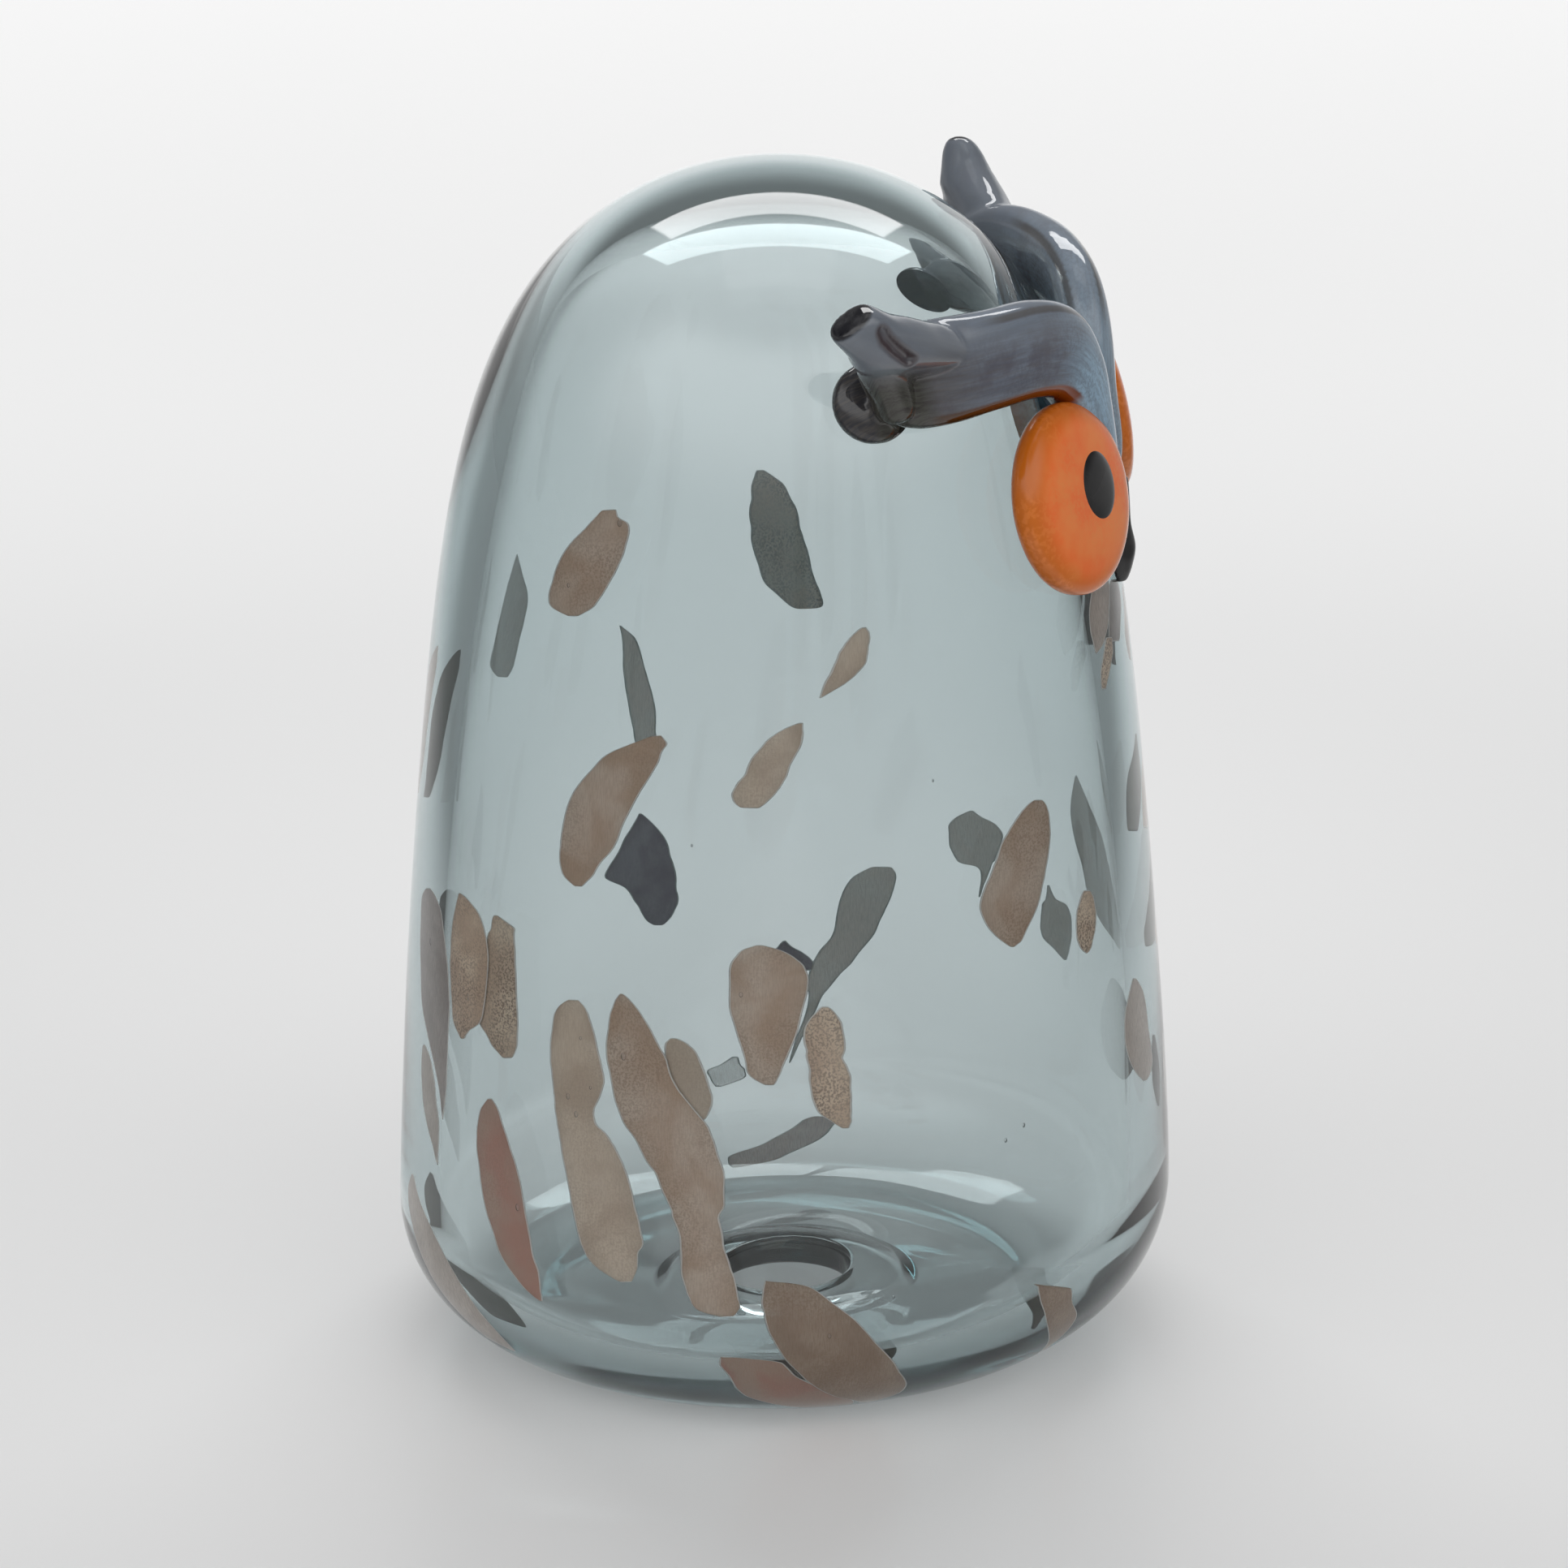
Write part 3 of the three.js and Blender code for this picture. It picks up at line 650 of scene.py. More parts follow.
def slate_glass(streaks, speckle, waviness):
    """Slate blue over brown, lighter towards the beak and orange-brown where its lower edge is thin.
    Painted light lies over it: a reflection of the orange eye on that lower edge, a paler sheen on
    the upper half and on the left brow, and shade along the fold under the ear.
    """
    material, tree, shader, place = new_material("slate_glass", Roughness=0.03, IOR=1.56)
    along, around, across, left, neck_shade, foot, cut, crease = (
        attribute(tree, name)
        for name in ("along", "around", "across", "left", "neck_shade", "foot", "cut", "crease")
    )
    lines = use_group(tree, streaks, {"Along": along, "Around": around, "Stretch": 0.09, "Scale": 0.5})
    grains = use_group(tree, speckle, {"Place": place, "Scale": 1500.0, "Cloud Scale": 110.0})
    patches = cloudy(tree, place, 130.0, 4.0, 0.65)
    purple = times(tree, ramp(tree, patches, 0.46, 0.66), ramp(tree, along, 56.0, 38.0))
    # Where the painted sheen lies: the upper half, short of the beak end
    upper_sheen = times(tree, ramp(tree, across, 0.0, 0.7), ramp(tree, along, 62.0, 46.0))
    upper_edge = times(tree, band(tree, across, 0.80, 0.87, 0.06), band(tree, along, 27.0, 48.0, 8.0))
    # Where the lower edge's orange-brown and painted eye reflection lie
    lower_edge = times(tree, band(tree, across, -0.99, -0.76, 0.07), band(tree, along, 11.0, 52.0, 4.0))
    edge_orange_and_reflection = mixed(tree, ramp(tree, along, 14.0, 44.0), *EDGE_ORANGE_AND_EYE_REFLECTION)
    shade = mixed(tree, lines["Mask"], *BROWNISH)
    for share, colour in (
        (ramp(tree, along, 8.0, 24.0), mixed(tree, lines["Mask"], *BLUISH)),
        (ramp(tree, along, 36.0, 56.0), mixed(tree, lines["Mask"], *PALE_BLUE)),
        # Painted sheen on the left brow
        (times(tree, left, ramp(tree, along, 16.0, 30.0, 0.0, 0.6)), LEFT_BROW_PAINTED_SHEEN),
        (times(tree, purple, 0.5), PURPLE_PATCH),
        (times(tree, lines["Fine"], 0.3), BROWN_HAIR),
        (times(tree, grains["Mask"], 0.3), DARK_GRAIN),
        # Painted sheen on the upper half
        (times(tree, upper_sheen, 0.5), UPPER_PAINTED_SHEEN),
        (times(tree, upper_edge, 0.6), UPPER_LINE),
        # Lower edge: orange-brown of the thin glass, with a painted reflection of the orange eye
        (lower_edge, mixed(tree, times(tree, lines["Mask"], 0.6), edge_orange_and_reflection, EDGE_ORANGE_AND_REFLECTION_STREAK)),
        # Painted shade along the fold under the ear
        (times(tree, neck_shade, 0.92), mixed(tree, lines["Fine"], *NECK_PAINTED_SHADE)),
        (ramp(tree, foot, 0.2, 0.7), mixed(tree, times(tree, lines["Fine"], 0.7), *FOOT_GREY)),
        (ramp(tree, cut, 0.25, 0.7), mixed(tree, ramp(tree, patches, 0.40, 0.58), *CUT_BLACK)),
        (ramp(tree, crease, 0.25, 0.75, 0.0, 0.9), CREASE_BROWN),
    ):
        shade = mixed(tree, share, shade, colour)
    tree.links.new(shade, shader.inputs["Base Color"])
    make_uneven(tree, shader, waviness, place, 90.0, 0.00016)
    return material


EYE_ORANGE = ((1.0, 0.195, 0.04), (1.0, 0.27, 0.065))
EYE_RIM = (0.66, 0.16, 0.014)
EYE_GRAIN = (0.95, 0.30, 0.07)


def orange_glass(speckle, waviness):
    material, tree, shader, place = new_material("orange_glass", Roughness=0.14, IOR=1.45)
    grains = use_group(tree, speckle, {"Place": place, "Scale": 900.0, "Cloud Scale": 120.0})
    clouds = cloudy(tree, place, 140.0, 3.0)
    middle = mixed(tree, ramp(tree, clouds, 0.35, 0.7), *EYE_ORANGE)
    edged = mixed(tree, ramp(tree, attribute(tree, "rim"), 0.72, 1.0), middle, EYE_RIM)
    mottled = mixed(tree, times(tree, grains["Mask"], 0.35), edged, EYE_GRAIN)
    tree.links.new(mottled, shader.inputs["Base Color"])
    make_uneven(tree, shader, waviness, place, 120.0, 0.00008)
    return material


PUPIL_BLACK = ((0.010, 0.010, 0.011), (0.028, 0.027, 0.027))


def black_glass(waviness):
    material, tree, shader, place = new_material("black_glass", Roughness=0.06, IOR=GLASS_IOR)
    dark = mixed(tree, cloudy(tree, place, 300.0, 2.0), *PUPIL_BLACK)
    tree.links.new(dark, shader.inputs["Base Color"])
    make_uneven(tree, shader, waviness, place, 150.0, 0.00008)
    return material


def air(waviness):
    """The surface of a bubble, met from inside the glass."""
    material, tree, shader, place = new_material(
        "air", Base_Color=(1, 1, 1), Roughness=0.0, IOR=AIR_IN_GLASS, Transmission_Weight=1.0
    )
    make_uneven(tree, shader, waviness, place, 400.0, 0.00002)
    return material


# Powdered colours: two shades that cloud into each other, the colour of their grains and of the
# painted shade just inside a chip's edge, and then how strong the grains are, how solid the colour,
# and how strong the streaks
Powder = namedtuple("Powder", "shade tint grain grains alpha streaks")
POWDERS = {
    "brown": Powder((0.64, 0.465, 0.33), (0.80, 0.67, 0.55), (0.42, 0.285, 0.19), 0.6, 0.84, 0.3),
    "dark_brown": Powder((0.43, 0.30, 0.21), (0.55, 0.42, 0.31), (0.32, 0.205, 0.13), 0.5, 0.88, 0.5),
    "beige": Powder((0.70, 0.57, 0.44), (0.87, 0.75, 0.61), (0.54, 0.41, 0.30), 0.4, 0.84, 0.3),
    "rosy": Powder((0.61, 0.32, 0.235), (0.60, 0.42, 0.32), (0.44, 0.24, 0.17), 0.35, 0.87, 0.2),
    "speckled_brown": Powder((0.78, 0.60, 0.45), (1.0, 0.84, 0.66), (0.38, 0.27, 0.19), 0.95, 0.86, 0.1),
    "pale": Powder((0.70, 0.60, 0.525), (0.84, 0.74, 0.66), (0.50, 0.415, 0.35), 0.2, 0.76, 0.8),
    "ash": Powder((1.0, 0.80, 0.67), (1.0, 0.88, 0.76), (0.74, 0.58, 0.47), 0.25, 0.62, 0.8),
    "mauve": Powder((1.0, 0.68, 0.58), (1.0, 0.80, 0.72), (0.74, 0.48, 0.40), 0.25, 0.6, 0.9),
    "pearl": Powder((1.0, 0.94, 0.88), (1.0, 0.97, 0.93), (0.7, 0.62, 0.54), 0.2, 0.33, 1.0),
    "grey": Powder((0.42, 0.365, 0.335), (0.56, 0.50, 0.47), (0.28, 0.24, 0.215), 0.25, 0.80, 0.6),
    "purple_grey": Powder((0.46, 0.32, 0.41), (0.66, 0.53, 0.61), (0.34, 0.24, 0.30), 0.25, 0.92, 0.2),
    "speckled_dark": Powder((1.0, 0.80, 0.64), (1.0, 0.90, 0.76), (0.10, 0.08, 0.065), 1.0, 0.74, 0.1),
}
# A painted highlight along each chip's edge, and how solid the chip is there
CHIP_PAINTED_EDGE_HIGHLIGHT = (1.0, 0.99, 0.95)
EDGE_HIGHLIGHT_ALPHA = 0.85


def chip_glass(finish, streaks, speckle):
    """Powdered colour fused in a thin chip: clouded and grained, with painted shade just inside
    its edge and a painted highlight along the edge itself.
    """
    powder = POWDERS[finish]
    material, tree, shader, place = new_material(f"{finish}_chip_glass", Roughness=0.35, IOR=GLASS_IOR)
    along, around, edge = (attribute(tree, name) for name in ("along", "around", "edge"))
    lines = use_group(tree, streaks, {"Along": along, "Around": around, "Stretch": 0.12, "Scale": 1.1})
    grains = use_group(tree, speckle, {"Place": place, "Scale": 2300.0, "Cloud Scale": 60.0})
    clouds = ramp(tree, cloudy(tree, place, 85.0, 3.0, distortion=0.6), 0.36, 0.66)
    shade = mixed(tree, clouds, powder.shade, powder.tint)
    for share, colour in (
        (times(tree, lines["Fine"], powder.streaks), powder.grain),
        (times(tree, grains["Mask"], powder.grains), powder.grain),
        # Painted shade just inside the edge, then a painted highlight along the edge itself
        (ramp(tree, edge, 0.7, 0.35, 0.0, 0.35), powder.grain),
        (ramp(tree, edge, 0.42, 0.28, 0.0, 0.9), CHIP_PAINTED_EDGE_HIGHLIGHT),
    ):
        shade = mixed(tree, share, shade, colour)
    tree.links.new(shade, shader.inputs["Base Color"])
    # The painted edge highlight is more solid than the rest of the chip
    tree.links.new(ramp(tree, edge, 0.28, 0.42, EDGE_HIGHLIGHT_ALPHA, powder.alpha), shader.inputs["Alpha"])
    return material


# Stage: floor, backdrop light and softboxes. These sizes are in metres.

FLOOR_SIZE = 8.0
FLOOR_GAP = 0.0002  # a real base touches in a few points only
RING_INSIDE = 0.0455  # radii of the dark ring, where the base's thick corner keeps light off the floor
RING_OUTSIDE = 0.0570
RING_GROWTH = 0.02  # how much wider it is towards the face
RING_GROWS = (0.05, 0.08)  # how far out, towards the face, it grows
RING_SOFT = 0.0007
RING_ENDS_BEHIND = (0.02, 0.0)
RING_ENDS_BESIDE = (-0.046, -0.034)
FEWEST_PASSES = (0.4, 0.6)  # the ring shows to light that has crossed one to three faces of the glass
MOST_PASSES = (3.6, 3.4)
RING_SHADE = 0.98
UNDER_SHADE = 0.22  # the glass overhead keeps a little light off the whole floor under it
NEAR_FLOOR = 0.12
FAR_FLOOR = 0.45
NEAR_ALBEDO = (0.64, 0.64, 0.64)
FAR_ALBEDO = (0.42, 0.42, 0.42)
FLOOR_LIT_TO = 0.17  # half the width of the lit part beside the owl
FLOOR_DARK_FROM = 0.36
FLOOR_DARK = 0.4
# How strongly the floor glows: from and to a distance behind the owl, from and to a strength
NEAR_GLOW = (-0.15, 0.65, 0.16, 0.45)
FAR_GLOW = (0.65, 1.25, 0.0, 0.08)


def ring_shade(tree, away, depth, sideways):
    """How dark the floor is under the owl. The ring is on the camera's side, and shows only through
    the base's corner: light crosses fewer faces of glass there than over the inner floor."""
    grown = maths(tree, "SUBTRACT", away, ramp(tree, sideways, *RING_GROWS, 0.0, RING_GROWTH))
    passes = tree.nodes.new("ShaderNodeLightPath").outputs["Transmission Depth"]
    shaded = ramp(tree, away, RING_INSIDE - RING_SOFT, RING_INSIDE)
    for share in (
        ramp(tree, grown, RING_OUTSIDE + RING_SOFT, RING_OUTSIDE),
        ramp(tree, depth, *RING_ENDS_BEHIND),
        ramp(tree, sideways, *RING_ENDS_BESIDE),
        ramp(tree, passes, *FEWEST_PASSES),
        ramp(tree, passes, *MOST_PASSES),
    ):
        shaded = times(tree, shaded, share)
    under = ramp(tree, away, RING_OUTSIDE, RING_INSIDE, 0.0, UNDER_SHADE)
    return times(tree, maths(tree, "MAXIMUM", shaded, under), RING_SHADE)


def make_floor():
    bm = bmesh.new()
    bmesh.ops.create_grid(bm, x_segments=1, y_segments=1, size=FLOOR_SIZE / 2)
    mesh = bpy.data.meshes.new("floor")
    bm.to_mesh(mesh)
    bm.free()
    mesh.transform(Matrix.Translation((0, 0, -FLOOR_GAP)))
    material, tree, shader, place = new_material(
        "pale_floor", Roughness=0.28, IOR=GLASS_IOR, Emission_Color=(1, 1, 1)
    )
    depth = dot(tree, place, BACK)
    sideways = dot(tree, place, SIDE_WAY)
    away = add_node(tree, "ShaderNodeVectorMath", {0: place}, operation="LENGTH").outputs["Value"]
    spread = maths(tree, "MAXIMUM", plus(tree, times(tree, depth, 0.6), 1.0), 0.4)
    beside = maths(tree, "DIVIDE", maths(tree, "ABSOLUTE", sideways), spread)
    lit = ramp(tree, beside, FLOOR_LIT_TO, FLOOR_DARK_FROM, 1.0, FLOOR_DARK)
    lit = times(tree, lit, rest_of(tree, ring_shade(tree, away, depth, sideways)))
    glow = plus(tree, ramp(tree, depth, *NEAR_GLOW), ramp(tree, depth, *FAR_GLOW))
    pale = mixed(tree, ramp(tree, away, NEAR_FLOOR, FAR_FLOOR), NEAR_ALBEDO, FAR_ALBEDO)
    tree.links.new(times(tree, glow, lit), shader.inputs["Emission Strength"])
    tree.links.new(mixed(tree, lit, (0, 0, 0), pale), shader.inputs["Base Color"])
    mesh.materials.append(material)
    floor = bpy.data.objects.new("floor", mesh)
    bpy.context.scene.collection.objects.link(floor)


# Brightness of the sweep at the horizon and of the room over it, of the room on the camera's side
# near the floor and above, and of the lights
HORIZON = 0.95
CEILING = 0.24
FRONT_LOW = 0.35
FRONT_HIGH = 1.45
BEHIND = 6.3
OVERHEAD = 0.5
SOFTBOX_EDGE = 0.012


def softbox(tree, direction, centre, across, half_across, half_up):
    """A mask of a soft-edged rectangle in the sky, centred on a direction."""
    centre = centre.normalized()
    upward = centre.cross(across).normalized()
    facing = dot(tree, direction, centre)
    mask = ramp(tree, facing, 0.0, 0.05)
    in_front = maths(tree, "MAXIMUM", facing, 0.0001)
    for axis, half in ((across, half_across), (upward, half_up)):
        offset = maths(tree, "ABSOLUTE", maths(tree, "DIVIDE", dot(tree, direction, axis), in_front))
        mask = times(tree, mask, ramp(tree, offset, half + SOFTBOX_EDGE, half - SOFTBOX_EDGE))
    return mask


def make_world():
    """A bright sweep all round up to a little above the horizon, a darker room over it, and lights."""
    world = bpy.data.worlds.new("studio")
    bpy.context.scene.world = world
    world.use_nodes = True
    tree = world.node_tree
    tree.nodes.clear()
    direction = tree.nodes.new("ShaderNodeTexCoord").outputs["Generated"]
    height = dot(tree, direction, UP)
    sideways = maths(tree, "ABSOLUTE", dot(tree, direction, SIDE_WAY))
    sweep = times(
        tree, ramp(tree, height, 0.10, 0.36, HORIZON, CEILING), ramp(tree, sideways, 0.25, 0.8, 1.0, 0.4)
    )
    facing = dot(tree, direction, -BACK)
    front = times(tree, ramp(tree, facing, -0.15, 0.4), ramp(tree, height, 0.93, 0.75))
    room = ramp(tree, height, 0.2, 0.5, FRONT_LOW, FRONT_HIGH)
    total = plus(tree, times(tree, sweep, rest_of(tree, front)), times(tree, room, front))
    behind = softbox(tree, direction, BACK + UP * 1.15, SIDE_WAY, 0.46, 0.13)
    overhead = softbox(tree, direction, UP + BACK * 0.09 + SIDE_WAY * 0.04, SIDE_WAY, 0.28, 0.19)
    total = plus(tree, total, times(tree, behind, BEHIND))
    total = plus(tree, total, times(tree, overhead, OVERHEAD))
    background = add_node(tree, "ShaderNodeBackground", {"Color": (1, 1, 1), "Strength": total})
    output = tree.nodes.new("ShaderNodeOutputWorld")
    tree.links.new(background.outputs[0], output.inputs["Surface"])


# Finishing a piece


def finished(name, bm, material, replaces=()):
    """Turns a mesh in millimetres into a smooth piece in metres that rides on the owl."""
    bmesh.ops.remove_doubles(bm, verts=bm.verts, dist=WELD)
    bmesh.ops.recalc_face_normals(bm, faces=bm.faces)
    bmesh.ops.scale(bm, vec=(MM, MM, MM), verts=bm.verts)
    mesh = bpy.data.meshes.new(name)
    bm.to_mesh(mesh)
    bm.free()
    mesh.shade_smooth()
    mesh.materials.append(material)
    piece = bpy.data.objects.new(name, mesh)
    bpy.context.scene.collection.objects.link(piece)
    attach(piece, "root")
    if replaces:
        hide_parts(*replaces)
    return piece


# Outline of the body


def tapered_radius(vessel, share):
    taper = 1 - vessel.taper * max(share, 0) ** vessel.taper_power
    dome = math.sqrt(max(0, 1 - max(share, 0) ** vessel.dome_power))
    return vessel.radius * taper * dome


def side_curve(vessel):
    """Radius and height from the corner's top to the apex, closer together over the dome."""
    shares = [DOME_START * i / SIDE_STEPS for i in range(SIDE_STEPS)]
    first = math.asin(DOME_START ** (vessel.dome_power / 2))
    for i in range(DOME_STEPS + 1):
        angle = first + (math.pi / 2 - first) * i / DOME_STEPS
        shares.append(math.sin(angle) ** (2 / vessel.dome_power))
    rise = vessel.top - CORNER_TOP
    points = [(tapered_radius(vessel, share), CORNER_TOP + share * rise) for share in shares]
    points[-1] = (0, vessel.top)
    return points


def corner_curve(radius, reach, floor):
    """Quarter of an ellipse from the flat base up to the side."""
    points = []
    for i in range(CORNER_STEPS):
        angle = math.pi / 2 * i / CORNER_STEPS
        along = radius - reach + reach * math.sin(angle)
        points.append((along, CORNER_TOP - (CORNER_TOP - floor) * math.cos(angle)))
    return points


def quadratic(start, pull, end):
    points = []
    for i in range(1, LIP_STEPS + 1):
        t = i / LIP_STEPS
        points.append(tuple(
            (1 - t) ** 2 * a + 2 * t * (1 - t) * b + t ** 2 * c for a, b, c in zip(start, pull, end)
        ))
    return points


def hole_curve():
    """From the inner floor, over the lip, through the hole and out under the base."""
    points = [(HOLE_RADIUS + 2 * LIP_REACH, FLOOR_THICKNESS)]
    crest = (HOLE_RADIUS + LIP_ROUNDING, LIP_TOP)
    points += quadratic(points[-1], (HOLE_RADIUS + LIP_REACH + LIP_ROUNDING, LIP_TOP), crest)
    points += quadratic(crest, (HOLE_RADIUS, LIP_TOP), (HOLE_RADIUS, LIP_TOP - LIP_ROUNDING))
    points.append((HOLE_RADIUS, RECESS_DEPTH + LIP_ROUNDING))
    under = (HOLE_RADIUS + LIP_ROUNDING, RECESS_DEPTH)
    points += quadratic(points[-1], (HOLE_RADIUS, RECESS_DEPTH), under)
    pull = ((HOLE_RADIUS + RECESS_RADIUS) / 2 + LIP_ROUNDING, RECESS_DEPTH)
    return points + quadratic(under, pull, (RECESS_RADIUS, 0))


def clamped(value):
    return min(1, max(0, value))


def eased(value):
    """0 to 1, kept there outside, with a level start and end."""
    share = clamped(value)
    return share * share * (3 - 2 * share)


def swung(place):
    """Moves a point near the base so that the corner is fuller on one side than on the other."""
    if place.z > SWING_FADE_TOP:
        return place
    radius = math.hypot(place.x, place.y)
    azimuth = math.atan2(-place.x, -place.y)
    swing = CORNER_SWING * math.cos(azimuth - math.radians(CORNER_SWING_AZIMUTH))
    fade = eased((SWING_FADE_TOP - place.z) / (SWING_FADE_TOP - CORNER_TOP))
    height = place.z * (1 + swing * fade)
    edge = BODY_RADIUS - CORNER_REACH
    if place.z < CORNER_TOP and radius > edge:
        swing *= min(1, (radius - edge) / SWING_FADE_REACH)
        scale = (BODY_RADIUS + (radius - BODY_RADIUS) * (1 + swing)) / radius
        return Vector((place.x * scale, place.y * scale, height))
    return Vector((place.x, place.y, height))


def turned(curve, segments):
    """A curve of radii and heights, turned all the way round the upright axis."""
    bm = bmesh.new()
    line = [bm.verts.new((radius, 0, height)) for radius, height in curve]
    edges = [bm.edges.new(pair) for pair in zip(line, line[1:])]
    bmesh.ops.spin(
        bm, geom=line + edges, cent=(0, 0, 0), axis=UP, angle=math.tau, steps=segments, use_merge=True
    )
    return bm


def make_body(glass):
    inside = corner_curve(INSIDE.radius, INNER_CORNER_REACH, FLOOR_THICKNESS) + side_curve(INSIDE)
    outside = corner_curve(BODY_RADIUS, CORNER_REACH, 0) + side_curve(OUTSIDE)
    bm = turned(inside[::-1] + hole_curve() + outside, BODY_SEGMENTS)
    bmesh.ops.remove_doubles(bm, verts=bm.verts, dist=WELD)
    for vert in bm.verts:
        vert.co = swung(vert.co)
    return finished("glass_body", bm, glass, ["body"])


# Places on the body


def outside_radius(height):
    if height >= CORNER_TOP:
        return tapered_radius(OUTSIDE, (height - CORNER_TOP) / (BODY_HEIGHT - CORNER_TOP))
    fall = 1 - max(height, 0) / CORNER_TOP
    return BODY_RADIUS - CORNER_REACH + CORNER_REACH * math.sqrt(max(0, 1 - fall * fall))


def wall_slope(height):
    """How much the outside's radius grows for each millimetre of height."""
    step = 0.5
    return (outside_radius(height + step) - outside_radius(height - step)) / (2 * step)


def around_axis(azimuth, reach, height, side):
    """A point from its azimuth, its distance from the owl's axis and its height."""
    angle = math.radians(azimuth)
    return Vector((-side.sign * math.sin(angle) * reach, -math.cos(angle) * reach, height))


def level_ways(azimuth, side):
    """The level directions towards the face and outwards."""
    angle = math.radians(azimuth)
    towards_face = Vector((side.sign * math.cos(angle), -math.sin(angle), 0))
    return towards_face, around_axis(azimuth, 1, 0, side)


def wall_place(azimuth, height, side):
    """A point on the outside of the wall, and the direction that faces out of it."""
    outward = level_ways(azimuth, side)[1]
    point = outward * outside_radius(height) + UP * height
    return point, (outward - UP * wall_slope(height)).normalized()


def pressed(bm):
    """Flattens against the wall what reaches into it, as hot glass does when it is pressed on."""
    for vert in bm.verts:
        place = vert.co
        radius = math.hypot(place.x, place.y)
        height = min(max(place.z, 1), BODY_HEIGHT - 0.01)
        slope = wall_slope(height)
        depth = (outside_radius(height) - FUSED - radius) / math.sqrt(1 + slope * slope)
        if depth > 0:
            outward = Vector((place.x, place.y, 0)).normalized()
            vert.co = place + (outward - UP * slope).normalized() * depth


# Drawn bars of glass


def row_at(rows, share):
    """The row at a share of the way along, with the values between rows smoothed."""
    place = share * (len(rows) - 1)
    low = min(int(place), len(rows) - 2)
    part = place - low
    values = []
    for before, start, end, after in zip(
        rows[max(low - 1, 0)], rows[low], rows[low + 1], rows[min(low + 2, len(rows) - 1)]
    ):
        leave = (end - before) / 2
        arrive = (after - start) / 2
        values.append(
            (2 * part ** 3 - 3 * part ** 2 + 1) * start
            + (part ** 3 - 2 * part ** 2 + part) * leave
            + (3 * part ** 2 - 2 * part ** 3) * end
            + (part ** 3 - part ** 2) * arrive
        )
    return type(rows[0])(*values) if hasattr(rows[0], "_fields") else values


def swell(place, rounding):
    """How full a bar is at a place from -1 at one end to 1 at the other: 1 at the middle, 0 at the ends."""
    return max(0, 1 - abs(place) ** rounding) ** (1 / rounding)


def bar(bm, station, fineness, squareness, end_rounding):
    """A round or flattened bar. station(share) gives its centre and its two half sizes as vectors."""
    steps, sides = fineness
    made = bmesh.ops.create_uvsphere(bm, u_segments=sides, v_segments=steps, radius=1)
    for vert in made["verts"]:
        share = (1 - vert.co.z) / 2
        full = swell(vert.co.z, end_rounding)
        ring = math.hypot(vert.co.x, vert.co.y) or 1
        across = math.copysign(abs(vert.co.x / ring) ** squareness, vert.co.x)
        out = math.copysign(abs(vert.co.y / ring) ** squareness, vert.co.y)
        centre, half_across, half_out = station(share)
        vert.co = centre + half_across * (across * full) + half_out * (out * full)


def brow_station(side):
    nudge = 0.01

    def station(share):
        row = row_at(side.brow, share)
        (point, normal), (before, _), (after, _) = (
            wall_place(*row_at(side.brow, place)[:2], side)
            for place in (share, max(0, share - nudge), min(1, share + nudge))
        )
        flat = normal.cross(after - before).normalized() * side.sign
        lean = math.radians(row.lean)
        across = flat * math.cos(lean) + normal * math.sin(lean)
        out = normal * math.cos(lean) - flat * math.sin(lean)
        stand_off = row.width / 2 * math.sin(lean) + (row.thickness - BROW_SINK) / 2
        return point + normal * stand_off, across * (row.width / 2), out * ((row.thickness + BROW_SINK) / 2)

    return station


def centre_line(rows, share, side):
    """Where a line of rows is at a share of the way along, and which way it goes there."""
    nudge = 0.02
    here, before, after = (
        around_axis(*row_at(rows, place)[:3], side)
        for place in (share, max(0, share - nudge), min(1, share + nudge))
    )
    return here, (after - before).normalized()


def ear_station(side):
    def station(share):
        row = row_at(side.ear, share)
        centre, along = centre_line(side.ear, share, side)
        towards_face, outward = level_ways(row.azimuth, side)
        tilt = math.radians(row.tilt)
        across = towards_face * math.cos(tilt) + UP * math.sin(tilt)
        out = along.cross(across).normalized()
        if out.dot(outward) < 0:
            out.negate()
        return centre, across * row.half_across, out * row.half_out

    return station


def neck_station(side):
    def station(share):
        row = row_at(NECK_ROWS, share)
        centre, along = centre_line(NECK_ROWS, share, side)
        towards_face = level_ways(row.azimuth, side)[0]
        across = (towards_face - along * towards_face.dot(along)).normalized()
        return centre, across * row.radius, along.cross(across).normalized() * row.radius

    return station


def on_wall(azimuth, height, side):
    """Turns a form made along +Z so that it stands on the wall."""
    point, normal = wall_place(azimuth, height, side)
    across = UP.cross(normal).normalized()
    upward = normal.cross(across)
    return Matrix.Translation(point) @ Matrix((across, upward, normal)).transposed().to_4x4()


REMESH_VOXEL = 0.55
REMESH_SMOOTHING = 5


def remeshed(bm):
    """Melts overlapping forms into one skin."""
    mesh = bpy.data.meshes.new("melting")
    bm.to_mesh(mesh)
    bm.free()
    holder = bpy.data.objects.new("melting", mesh)
    bpy.context.scene.collection.objects.link(holder)
    melt = holder.modifiers.new("melt", "REMESH")
    melt.mode = "VOXEL"
    melt.voxel_size = REMESH_VOXEL
    ease = holder.modifiers.new("ease", "SMOOTH")
    ease.factor = 0.5
    ease.iterations = REMESH_SMOOTHING
    shown = holder.evaluated_get(bpy.context.evaluated_depsgraph_get())
    result = bmesh.new()
    result.from_mesh(shown.to_mesh())
    bpy.data.objects.remove(holder)
    bpy.data.meshes.remove(mesh)
    return result


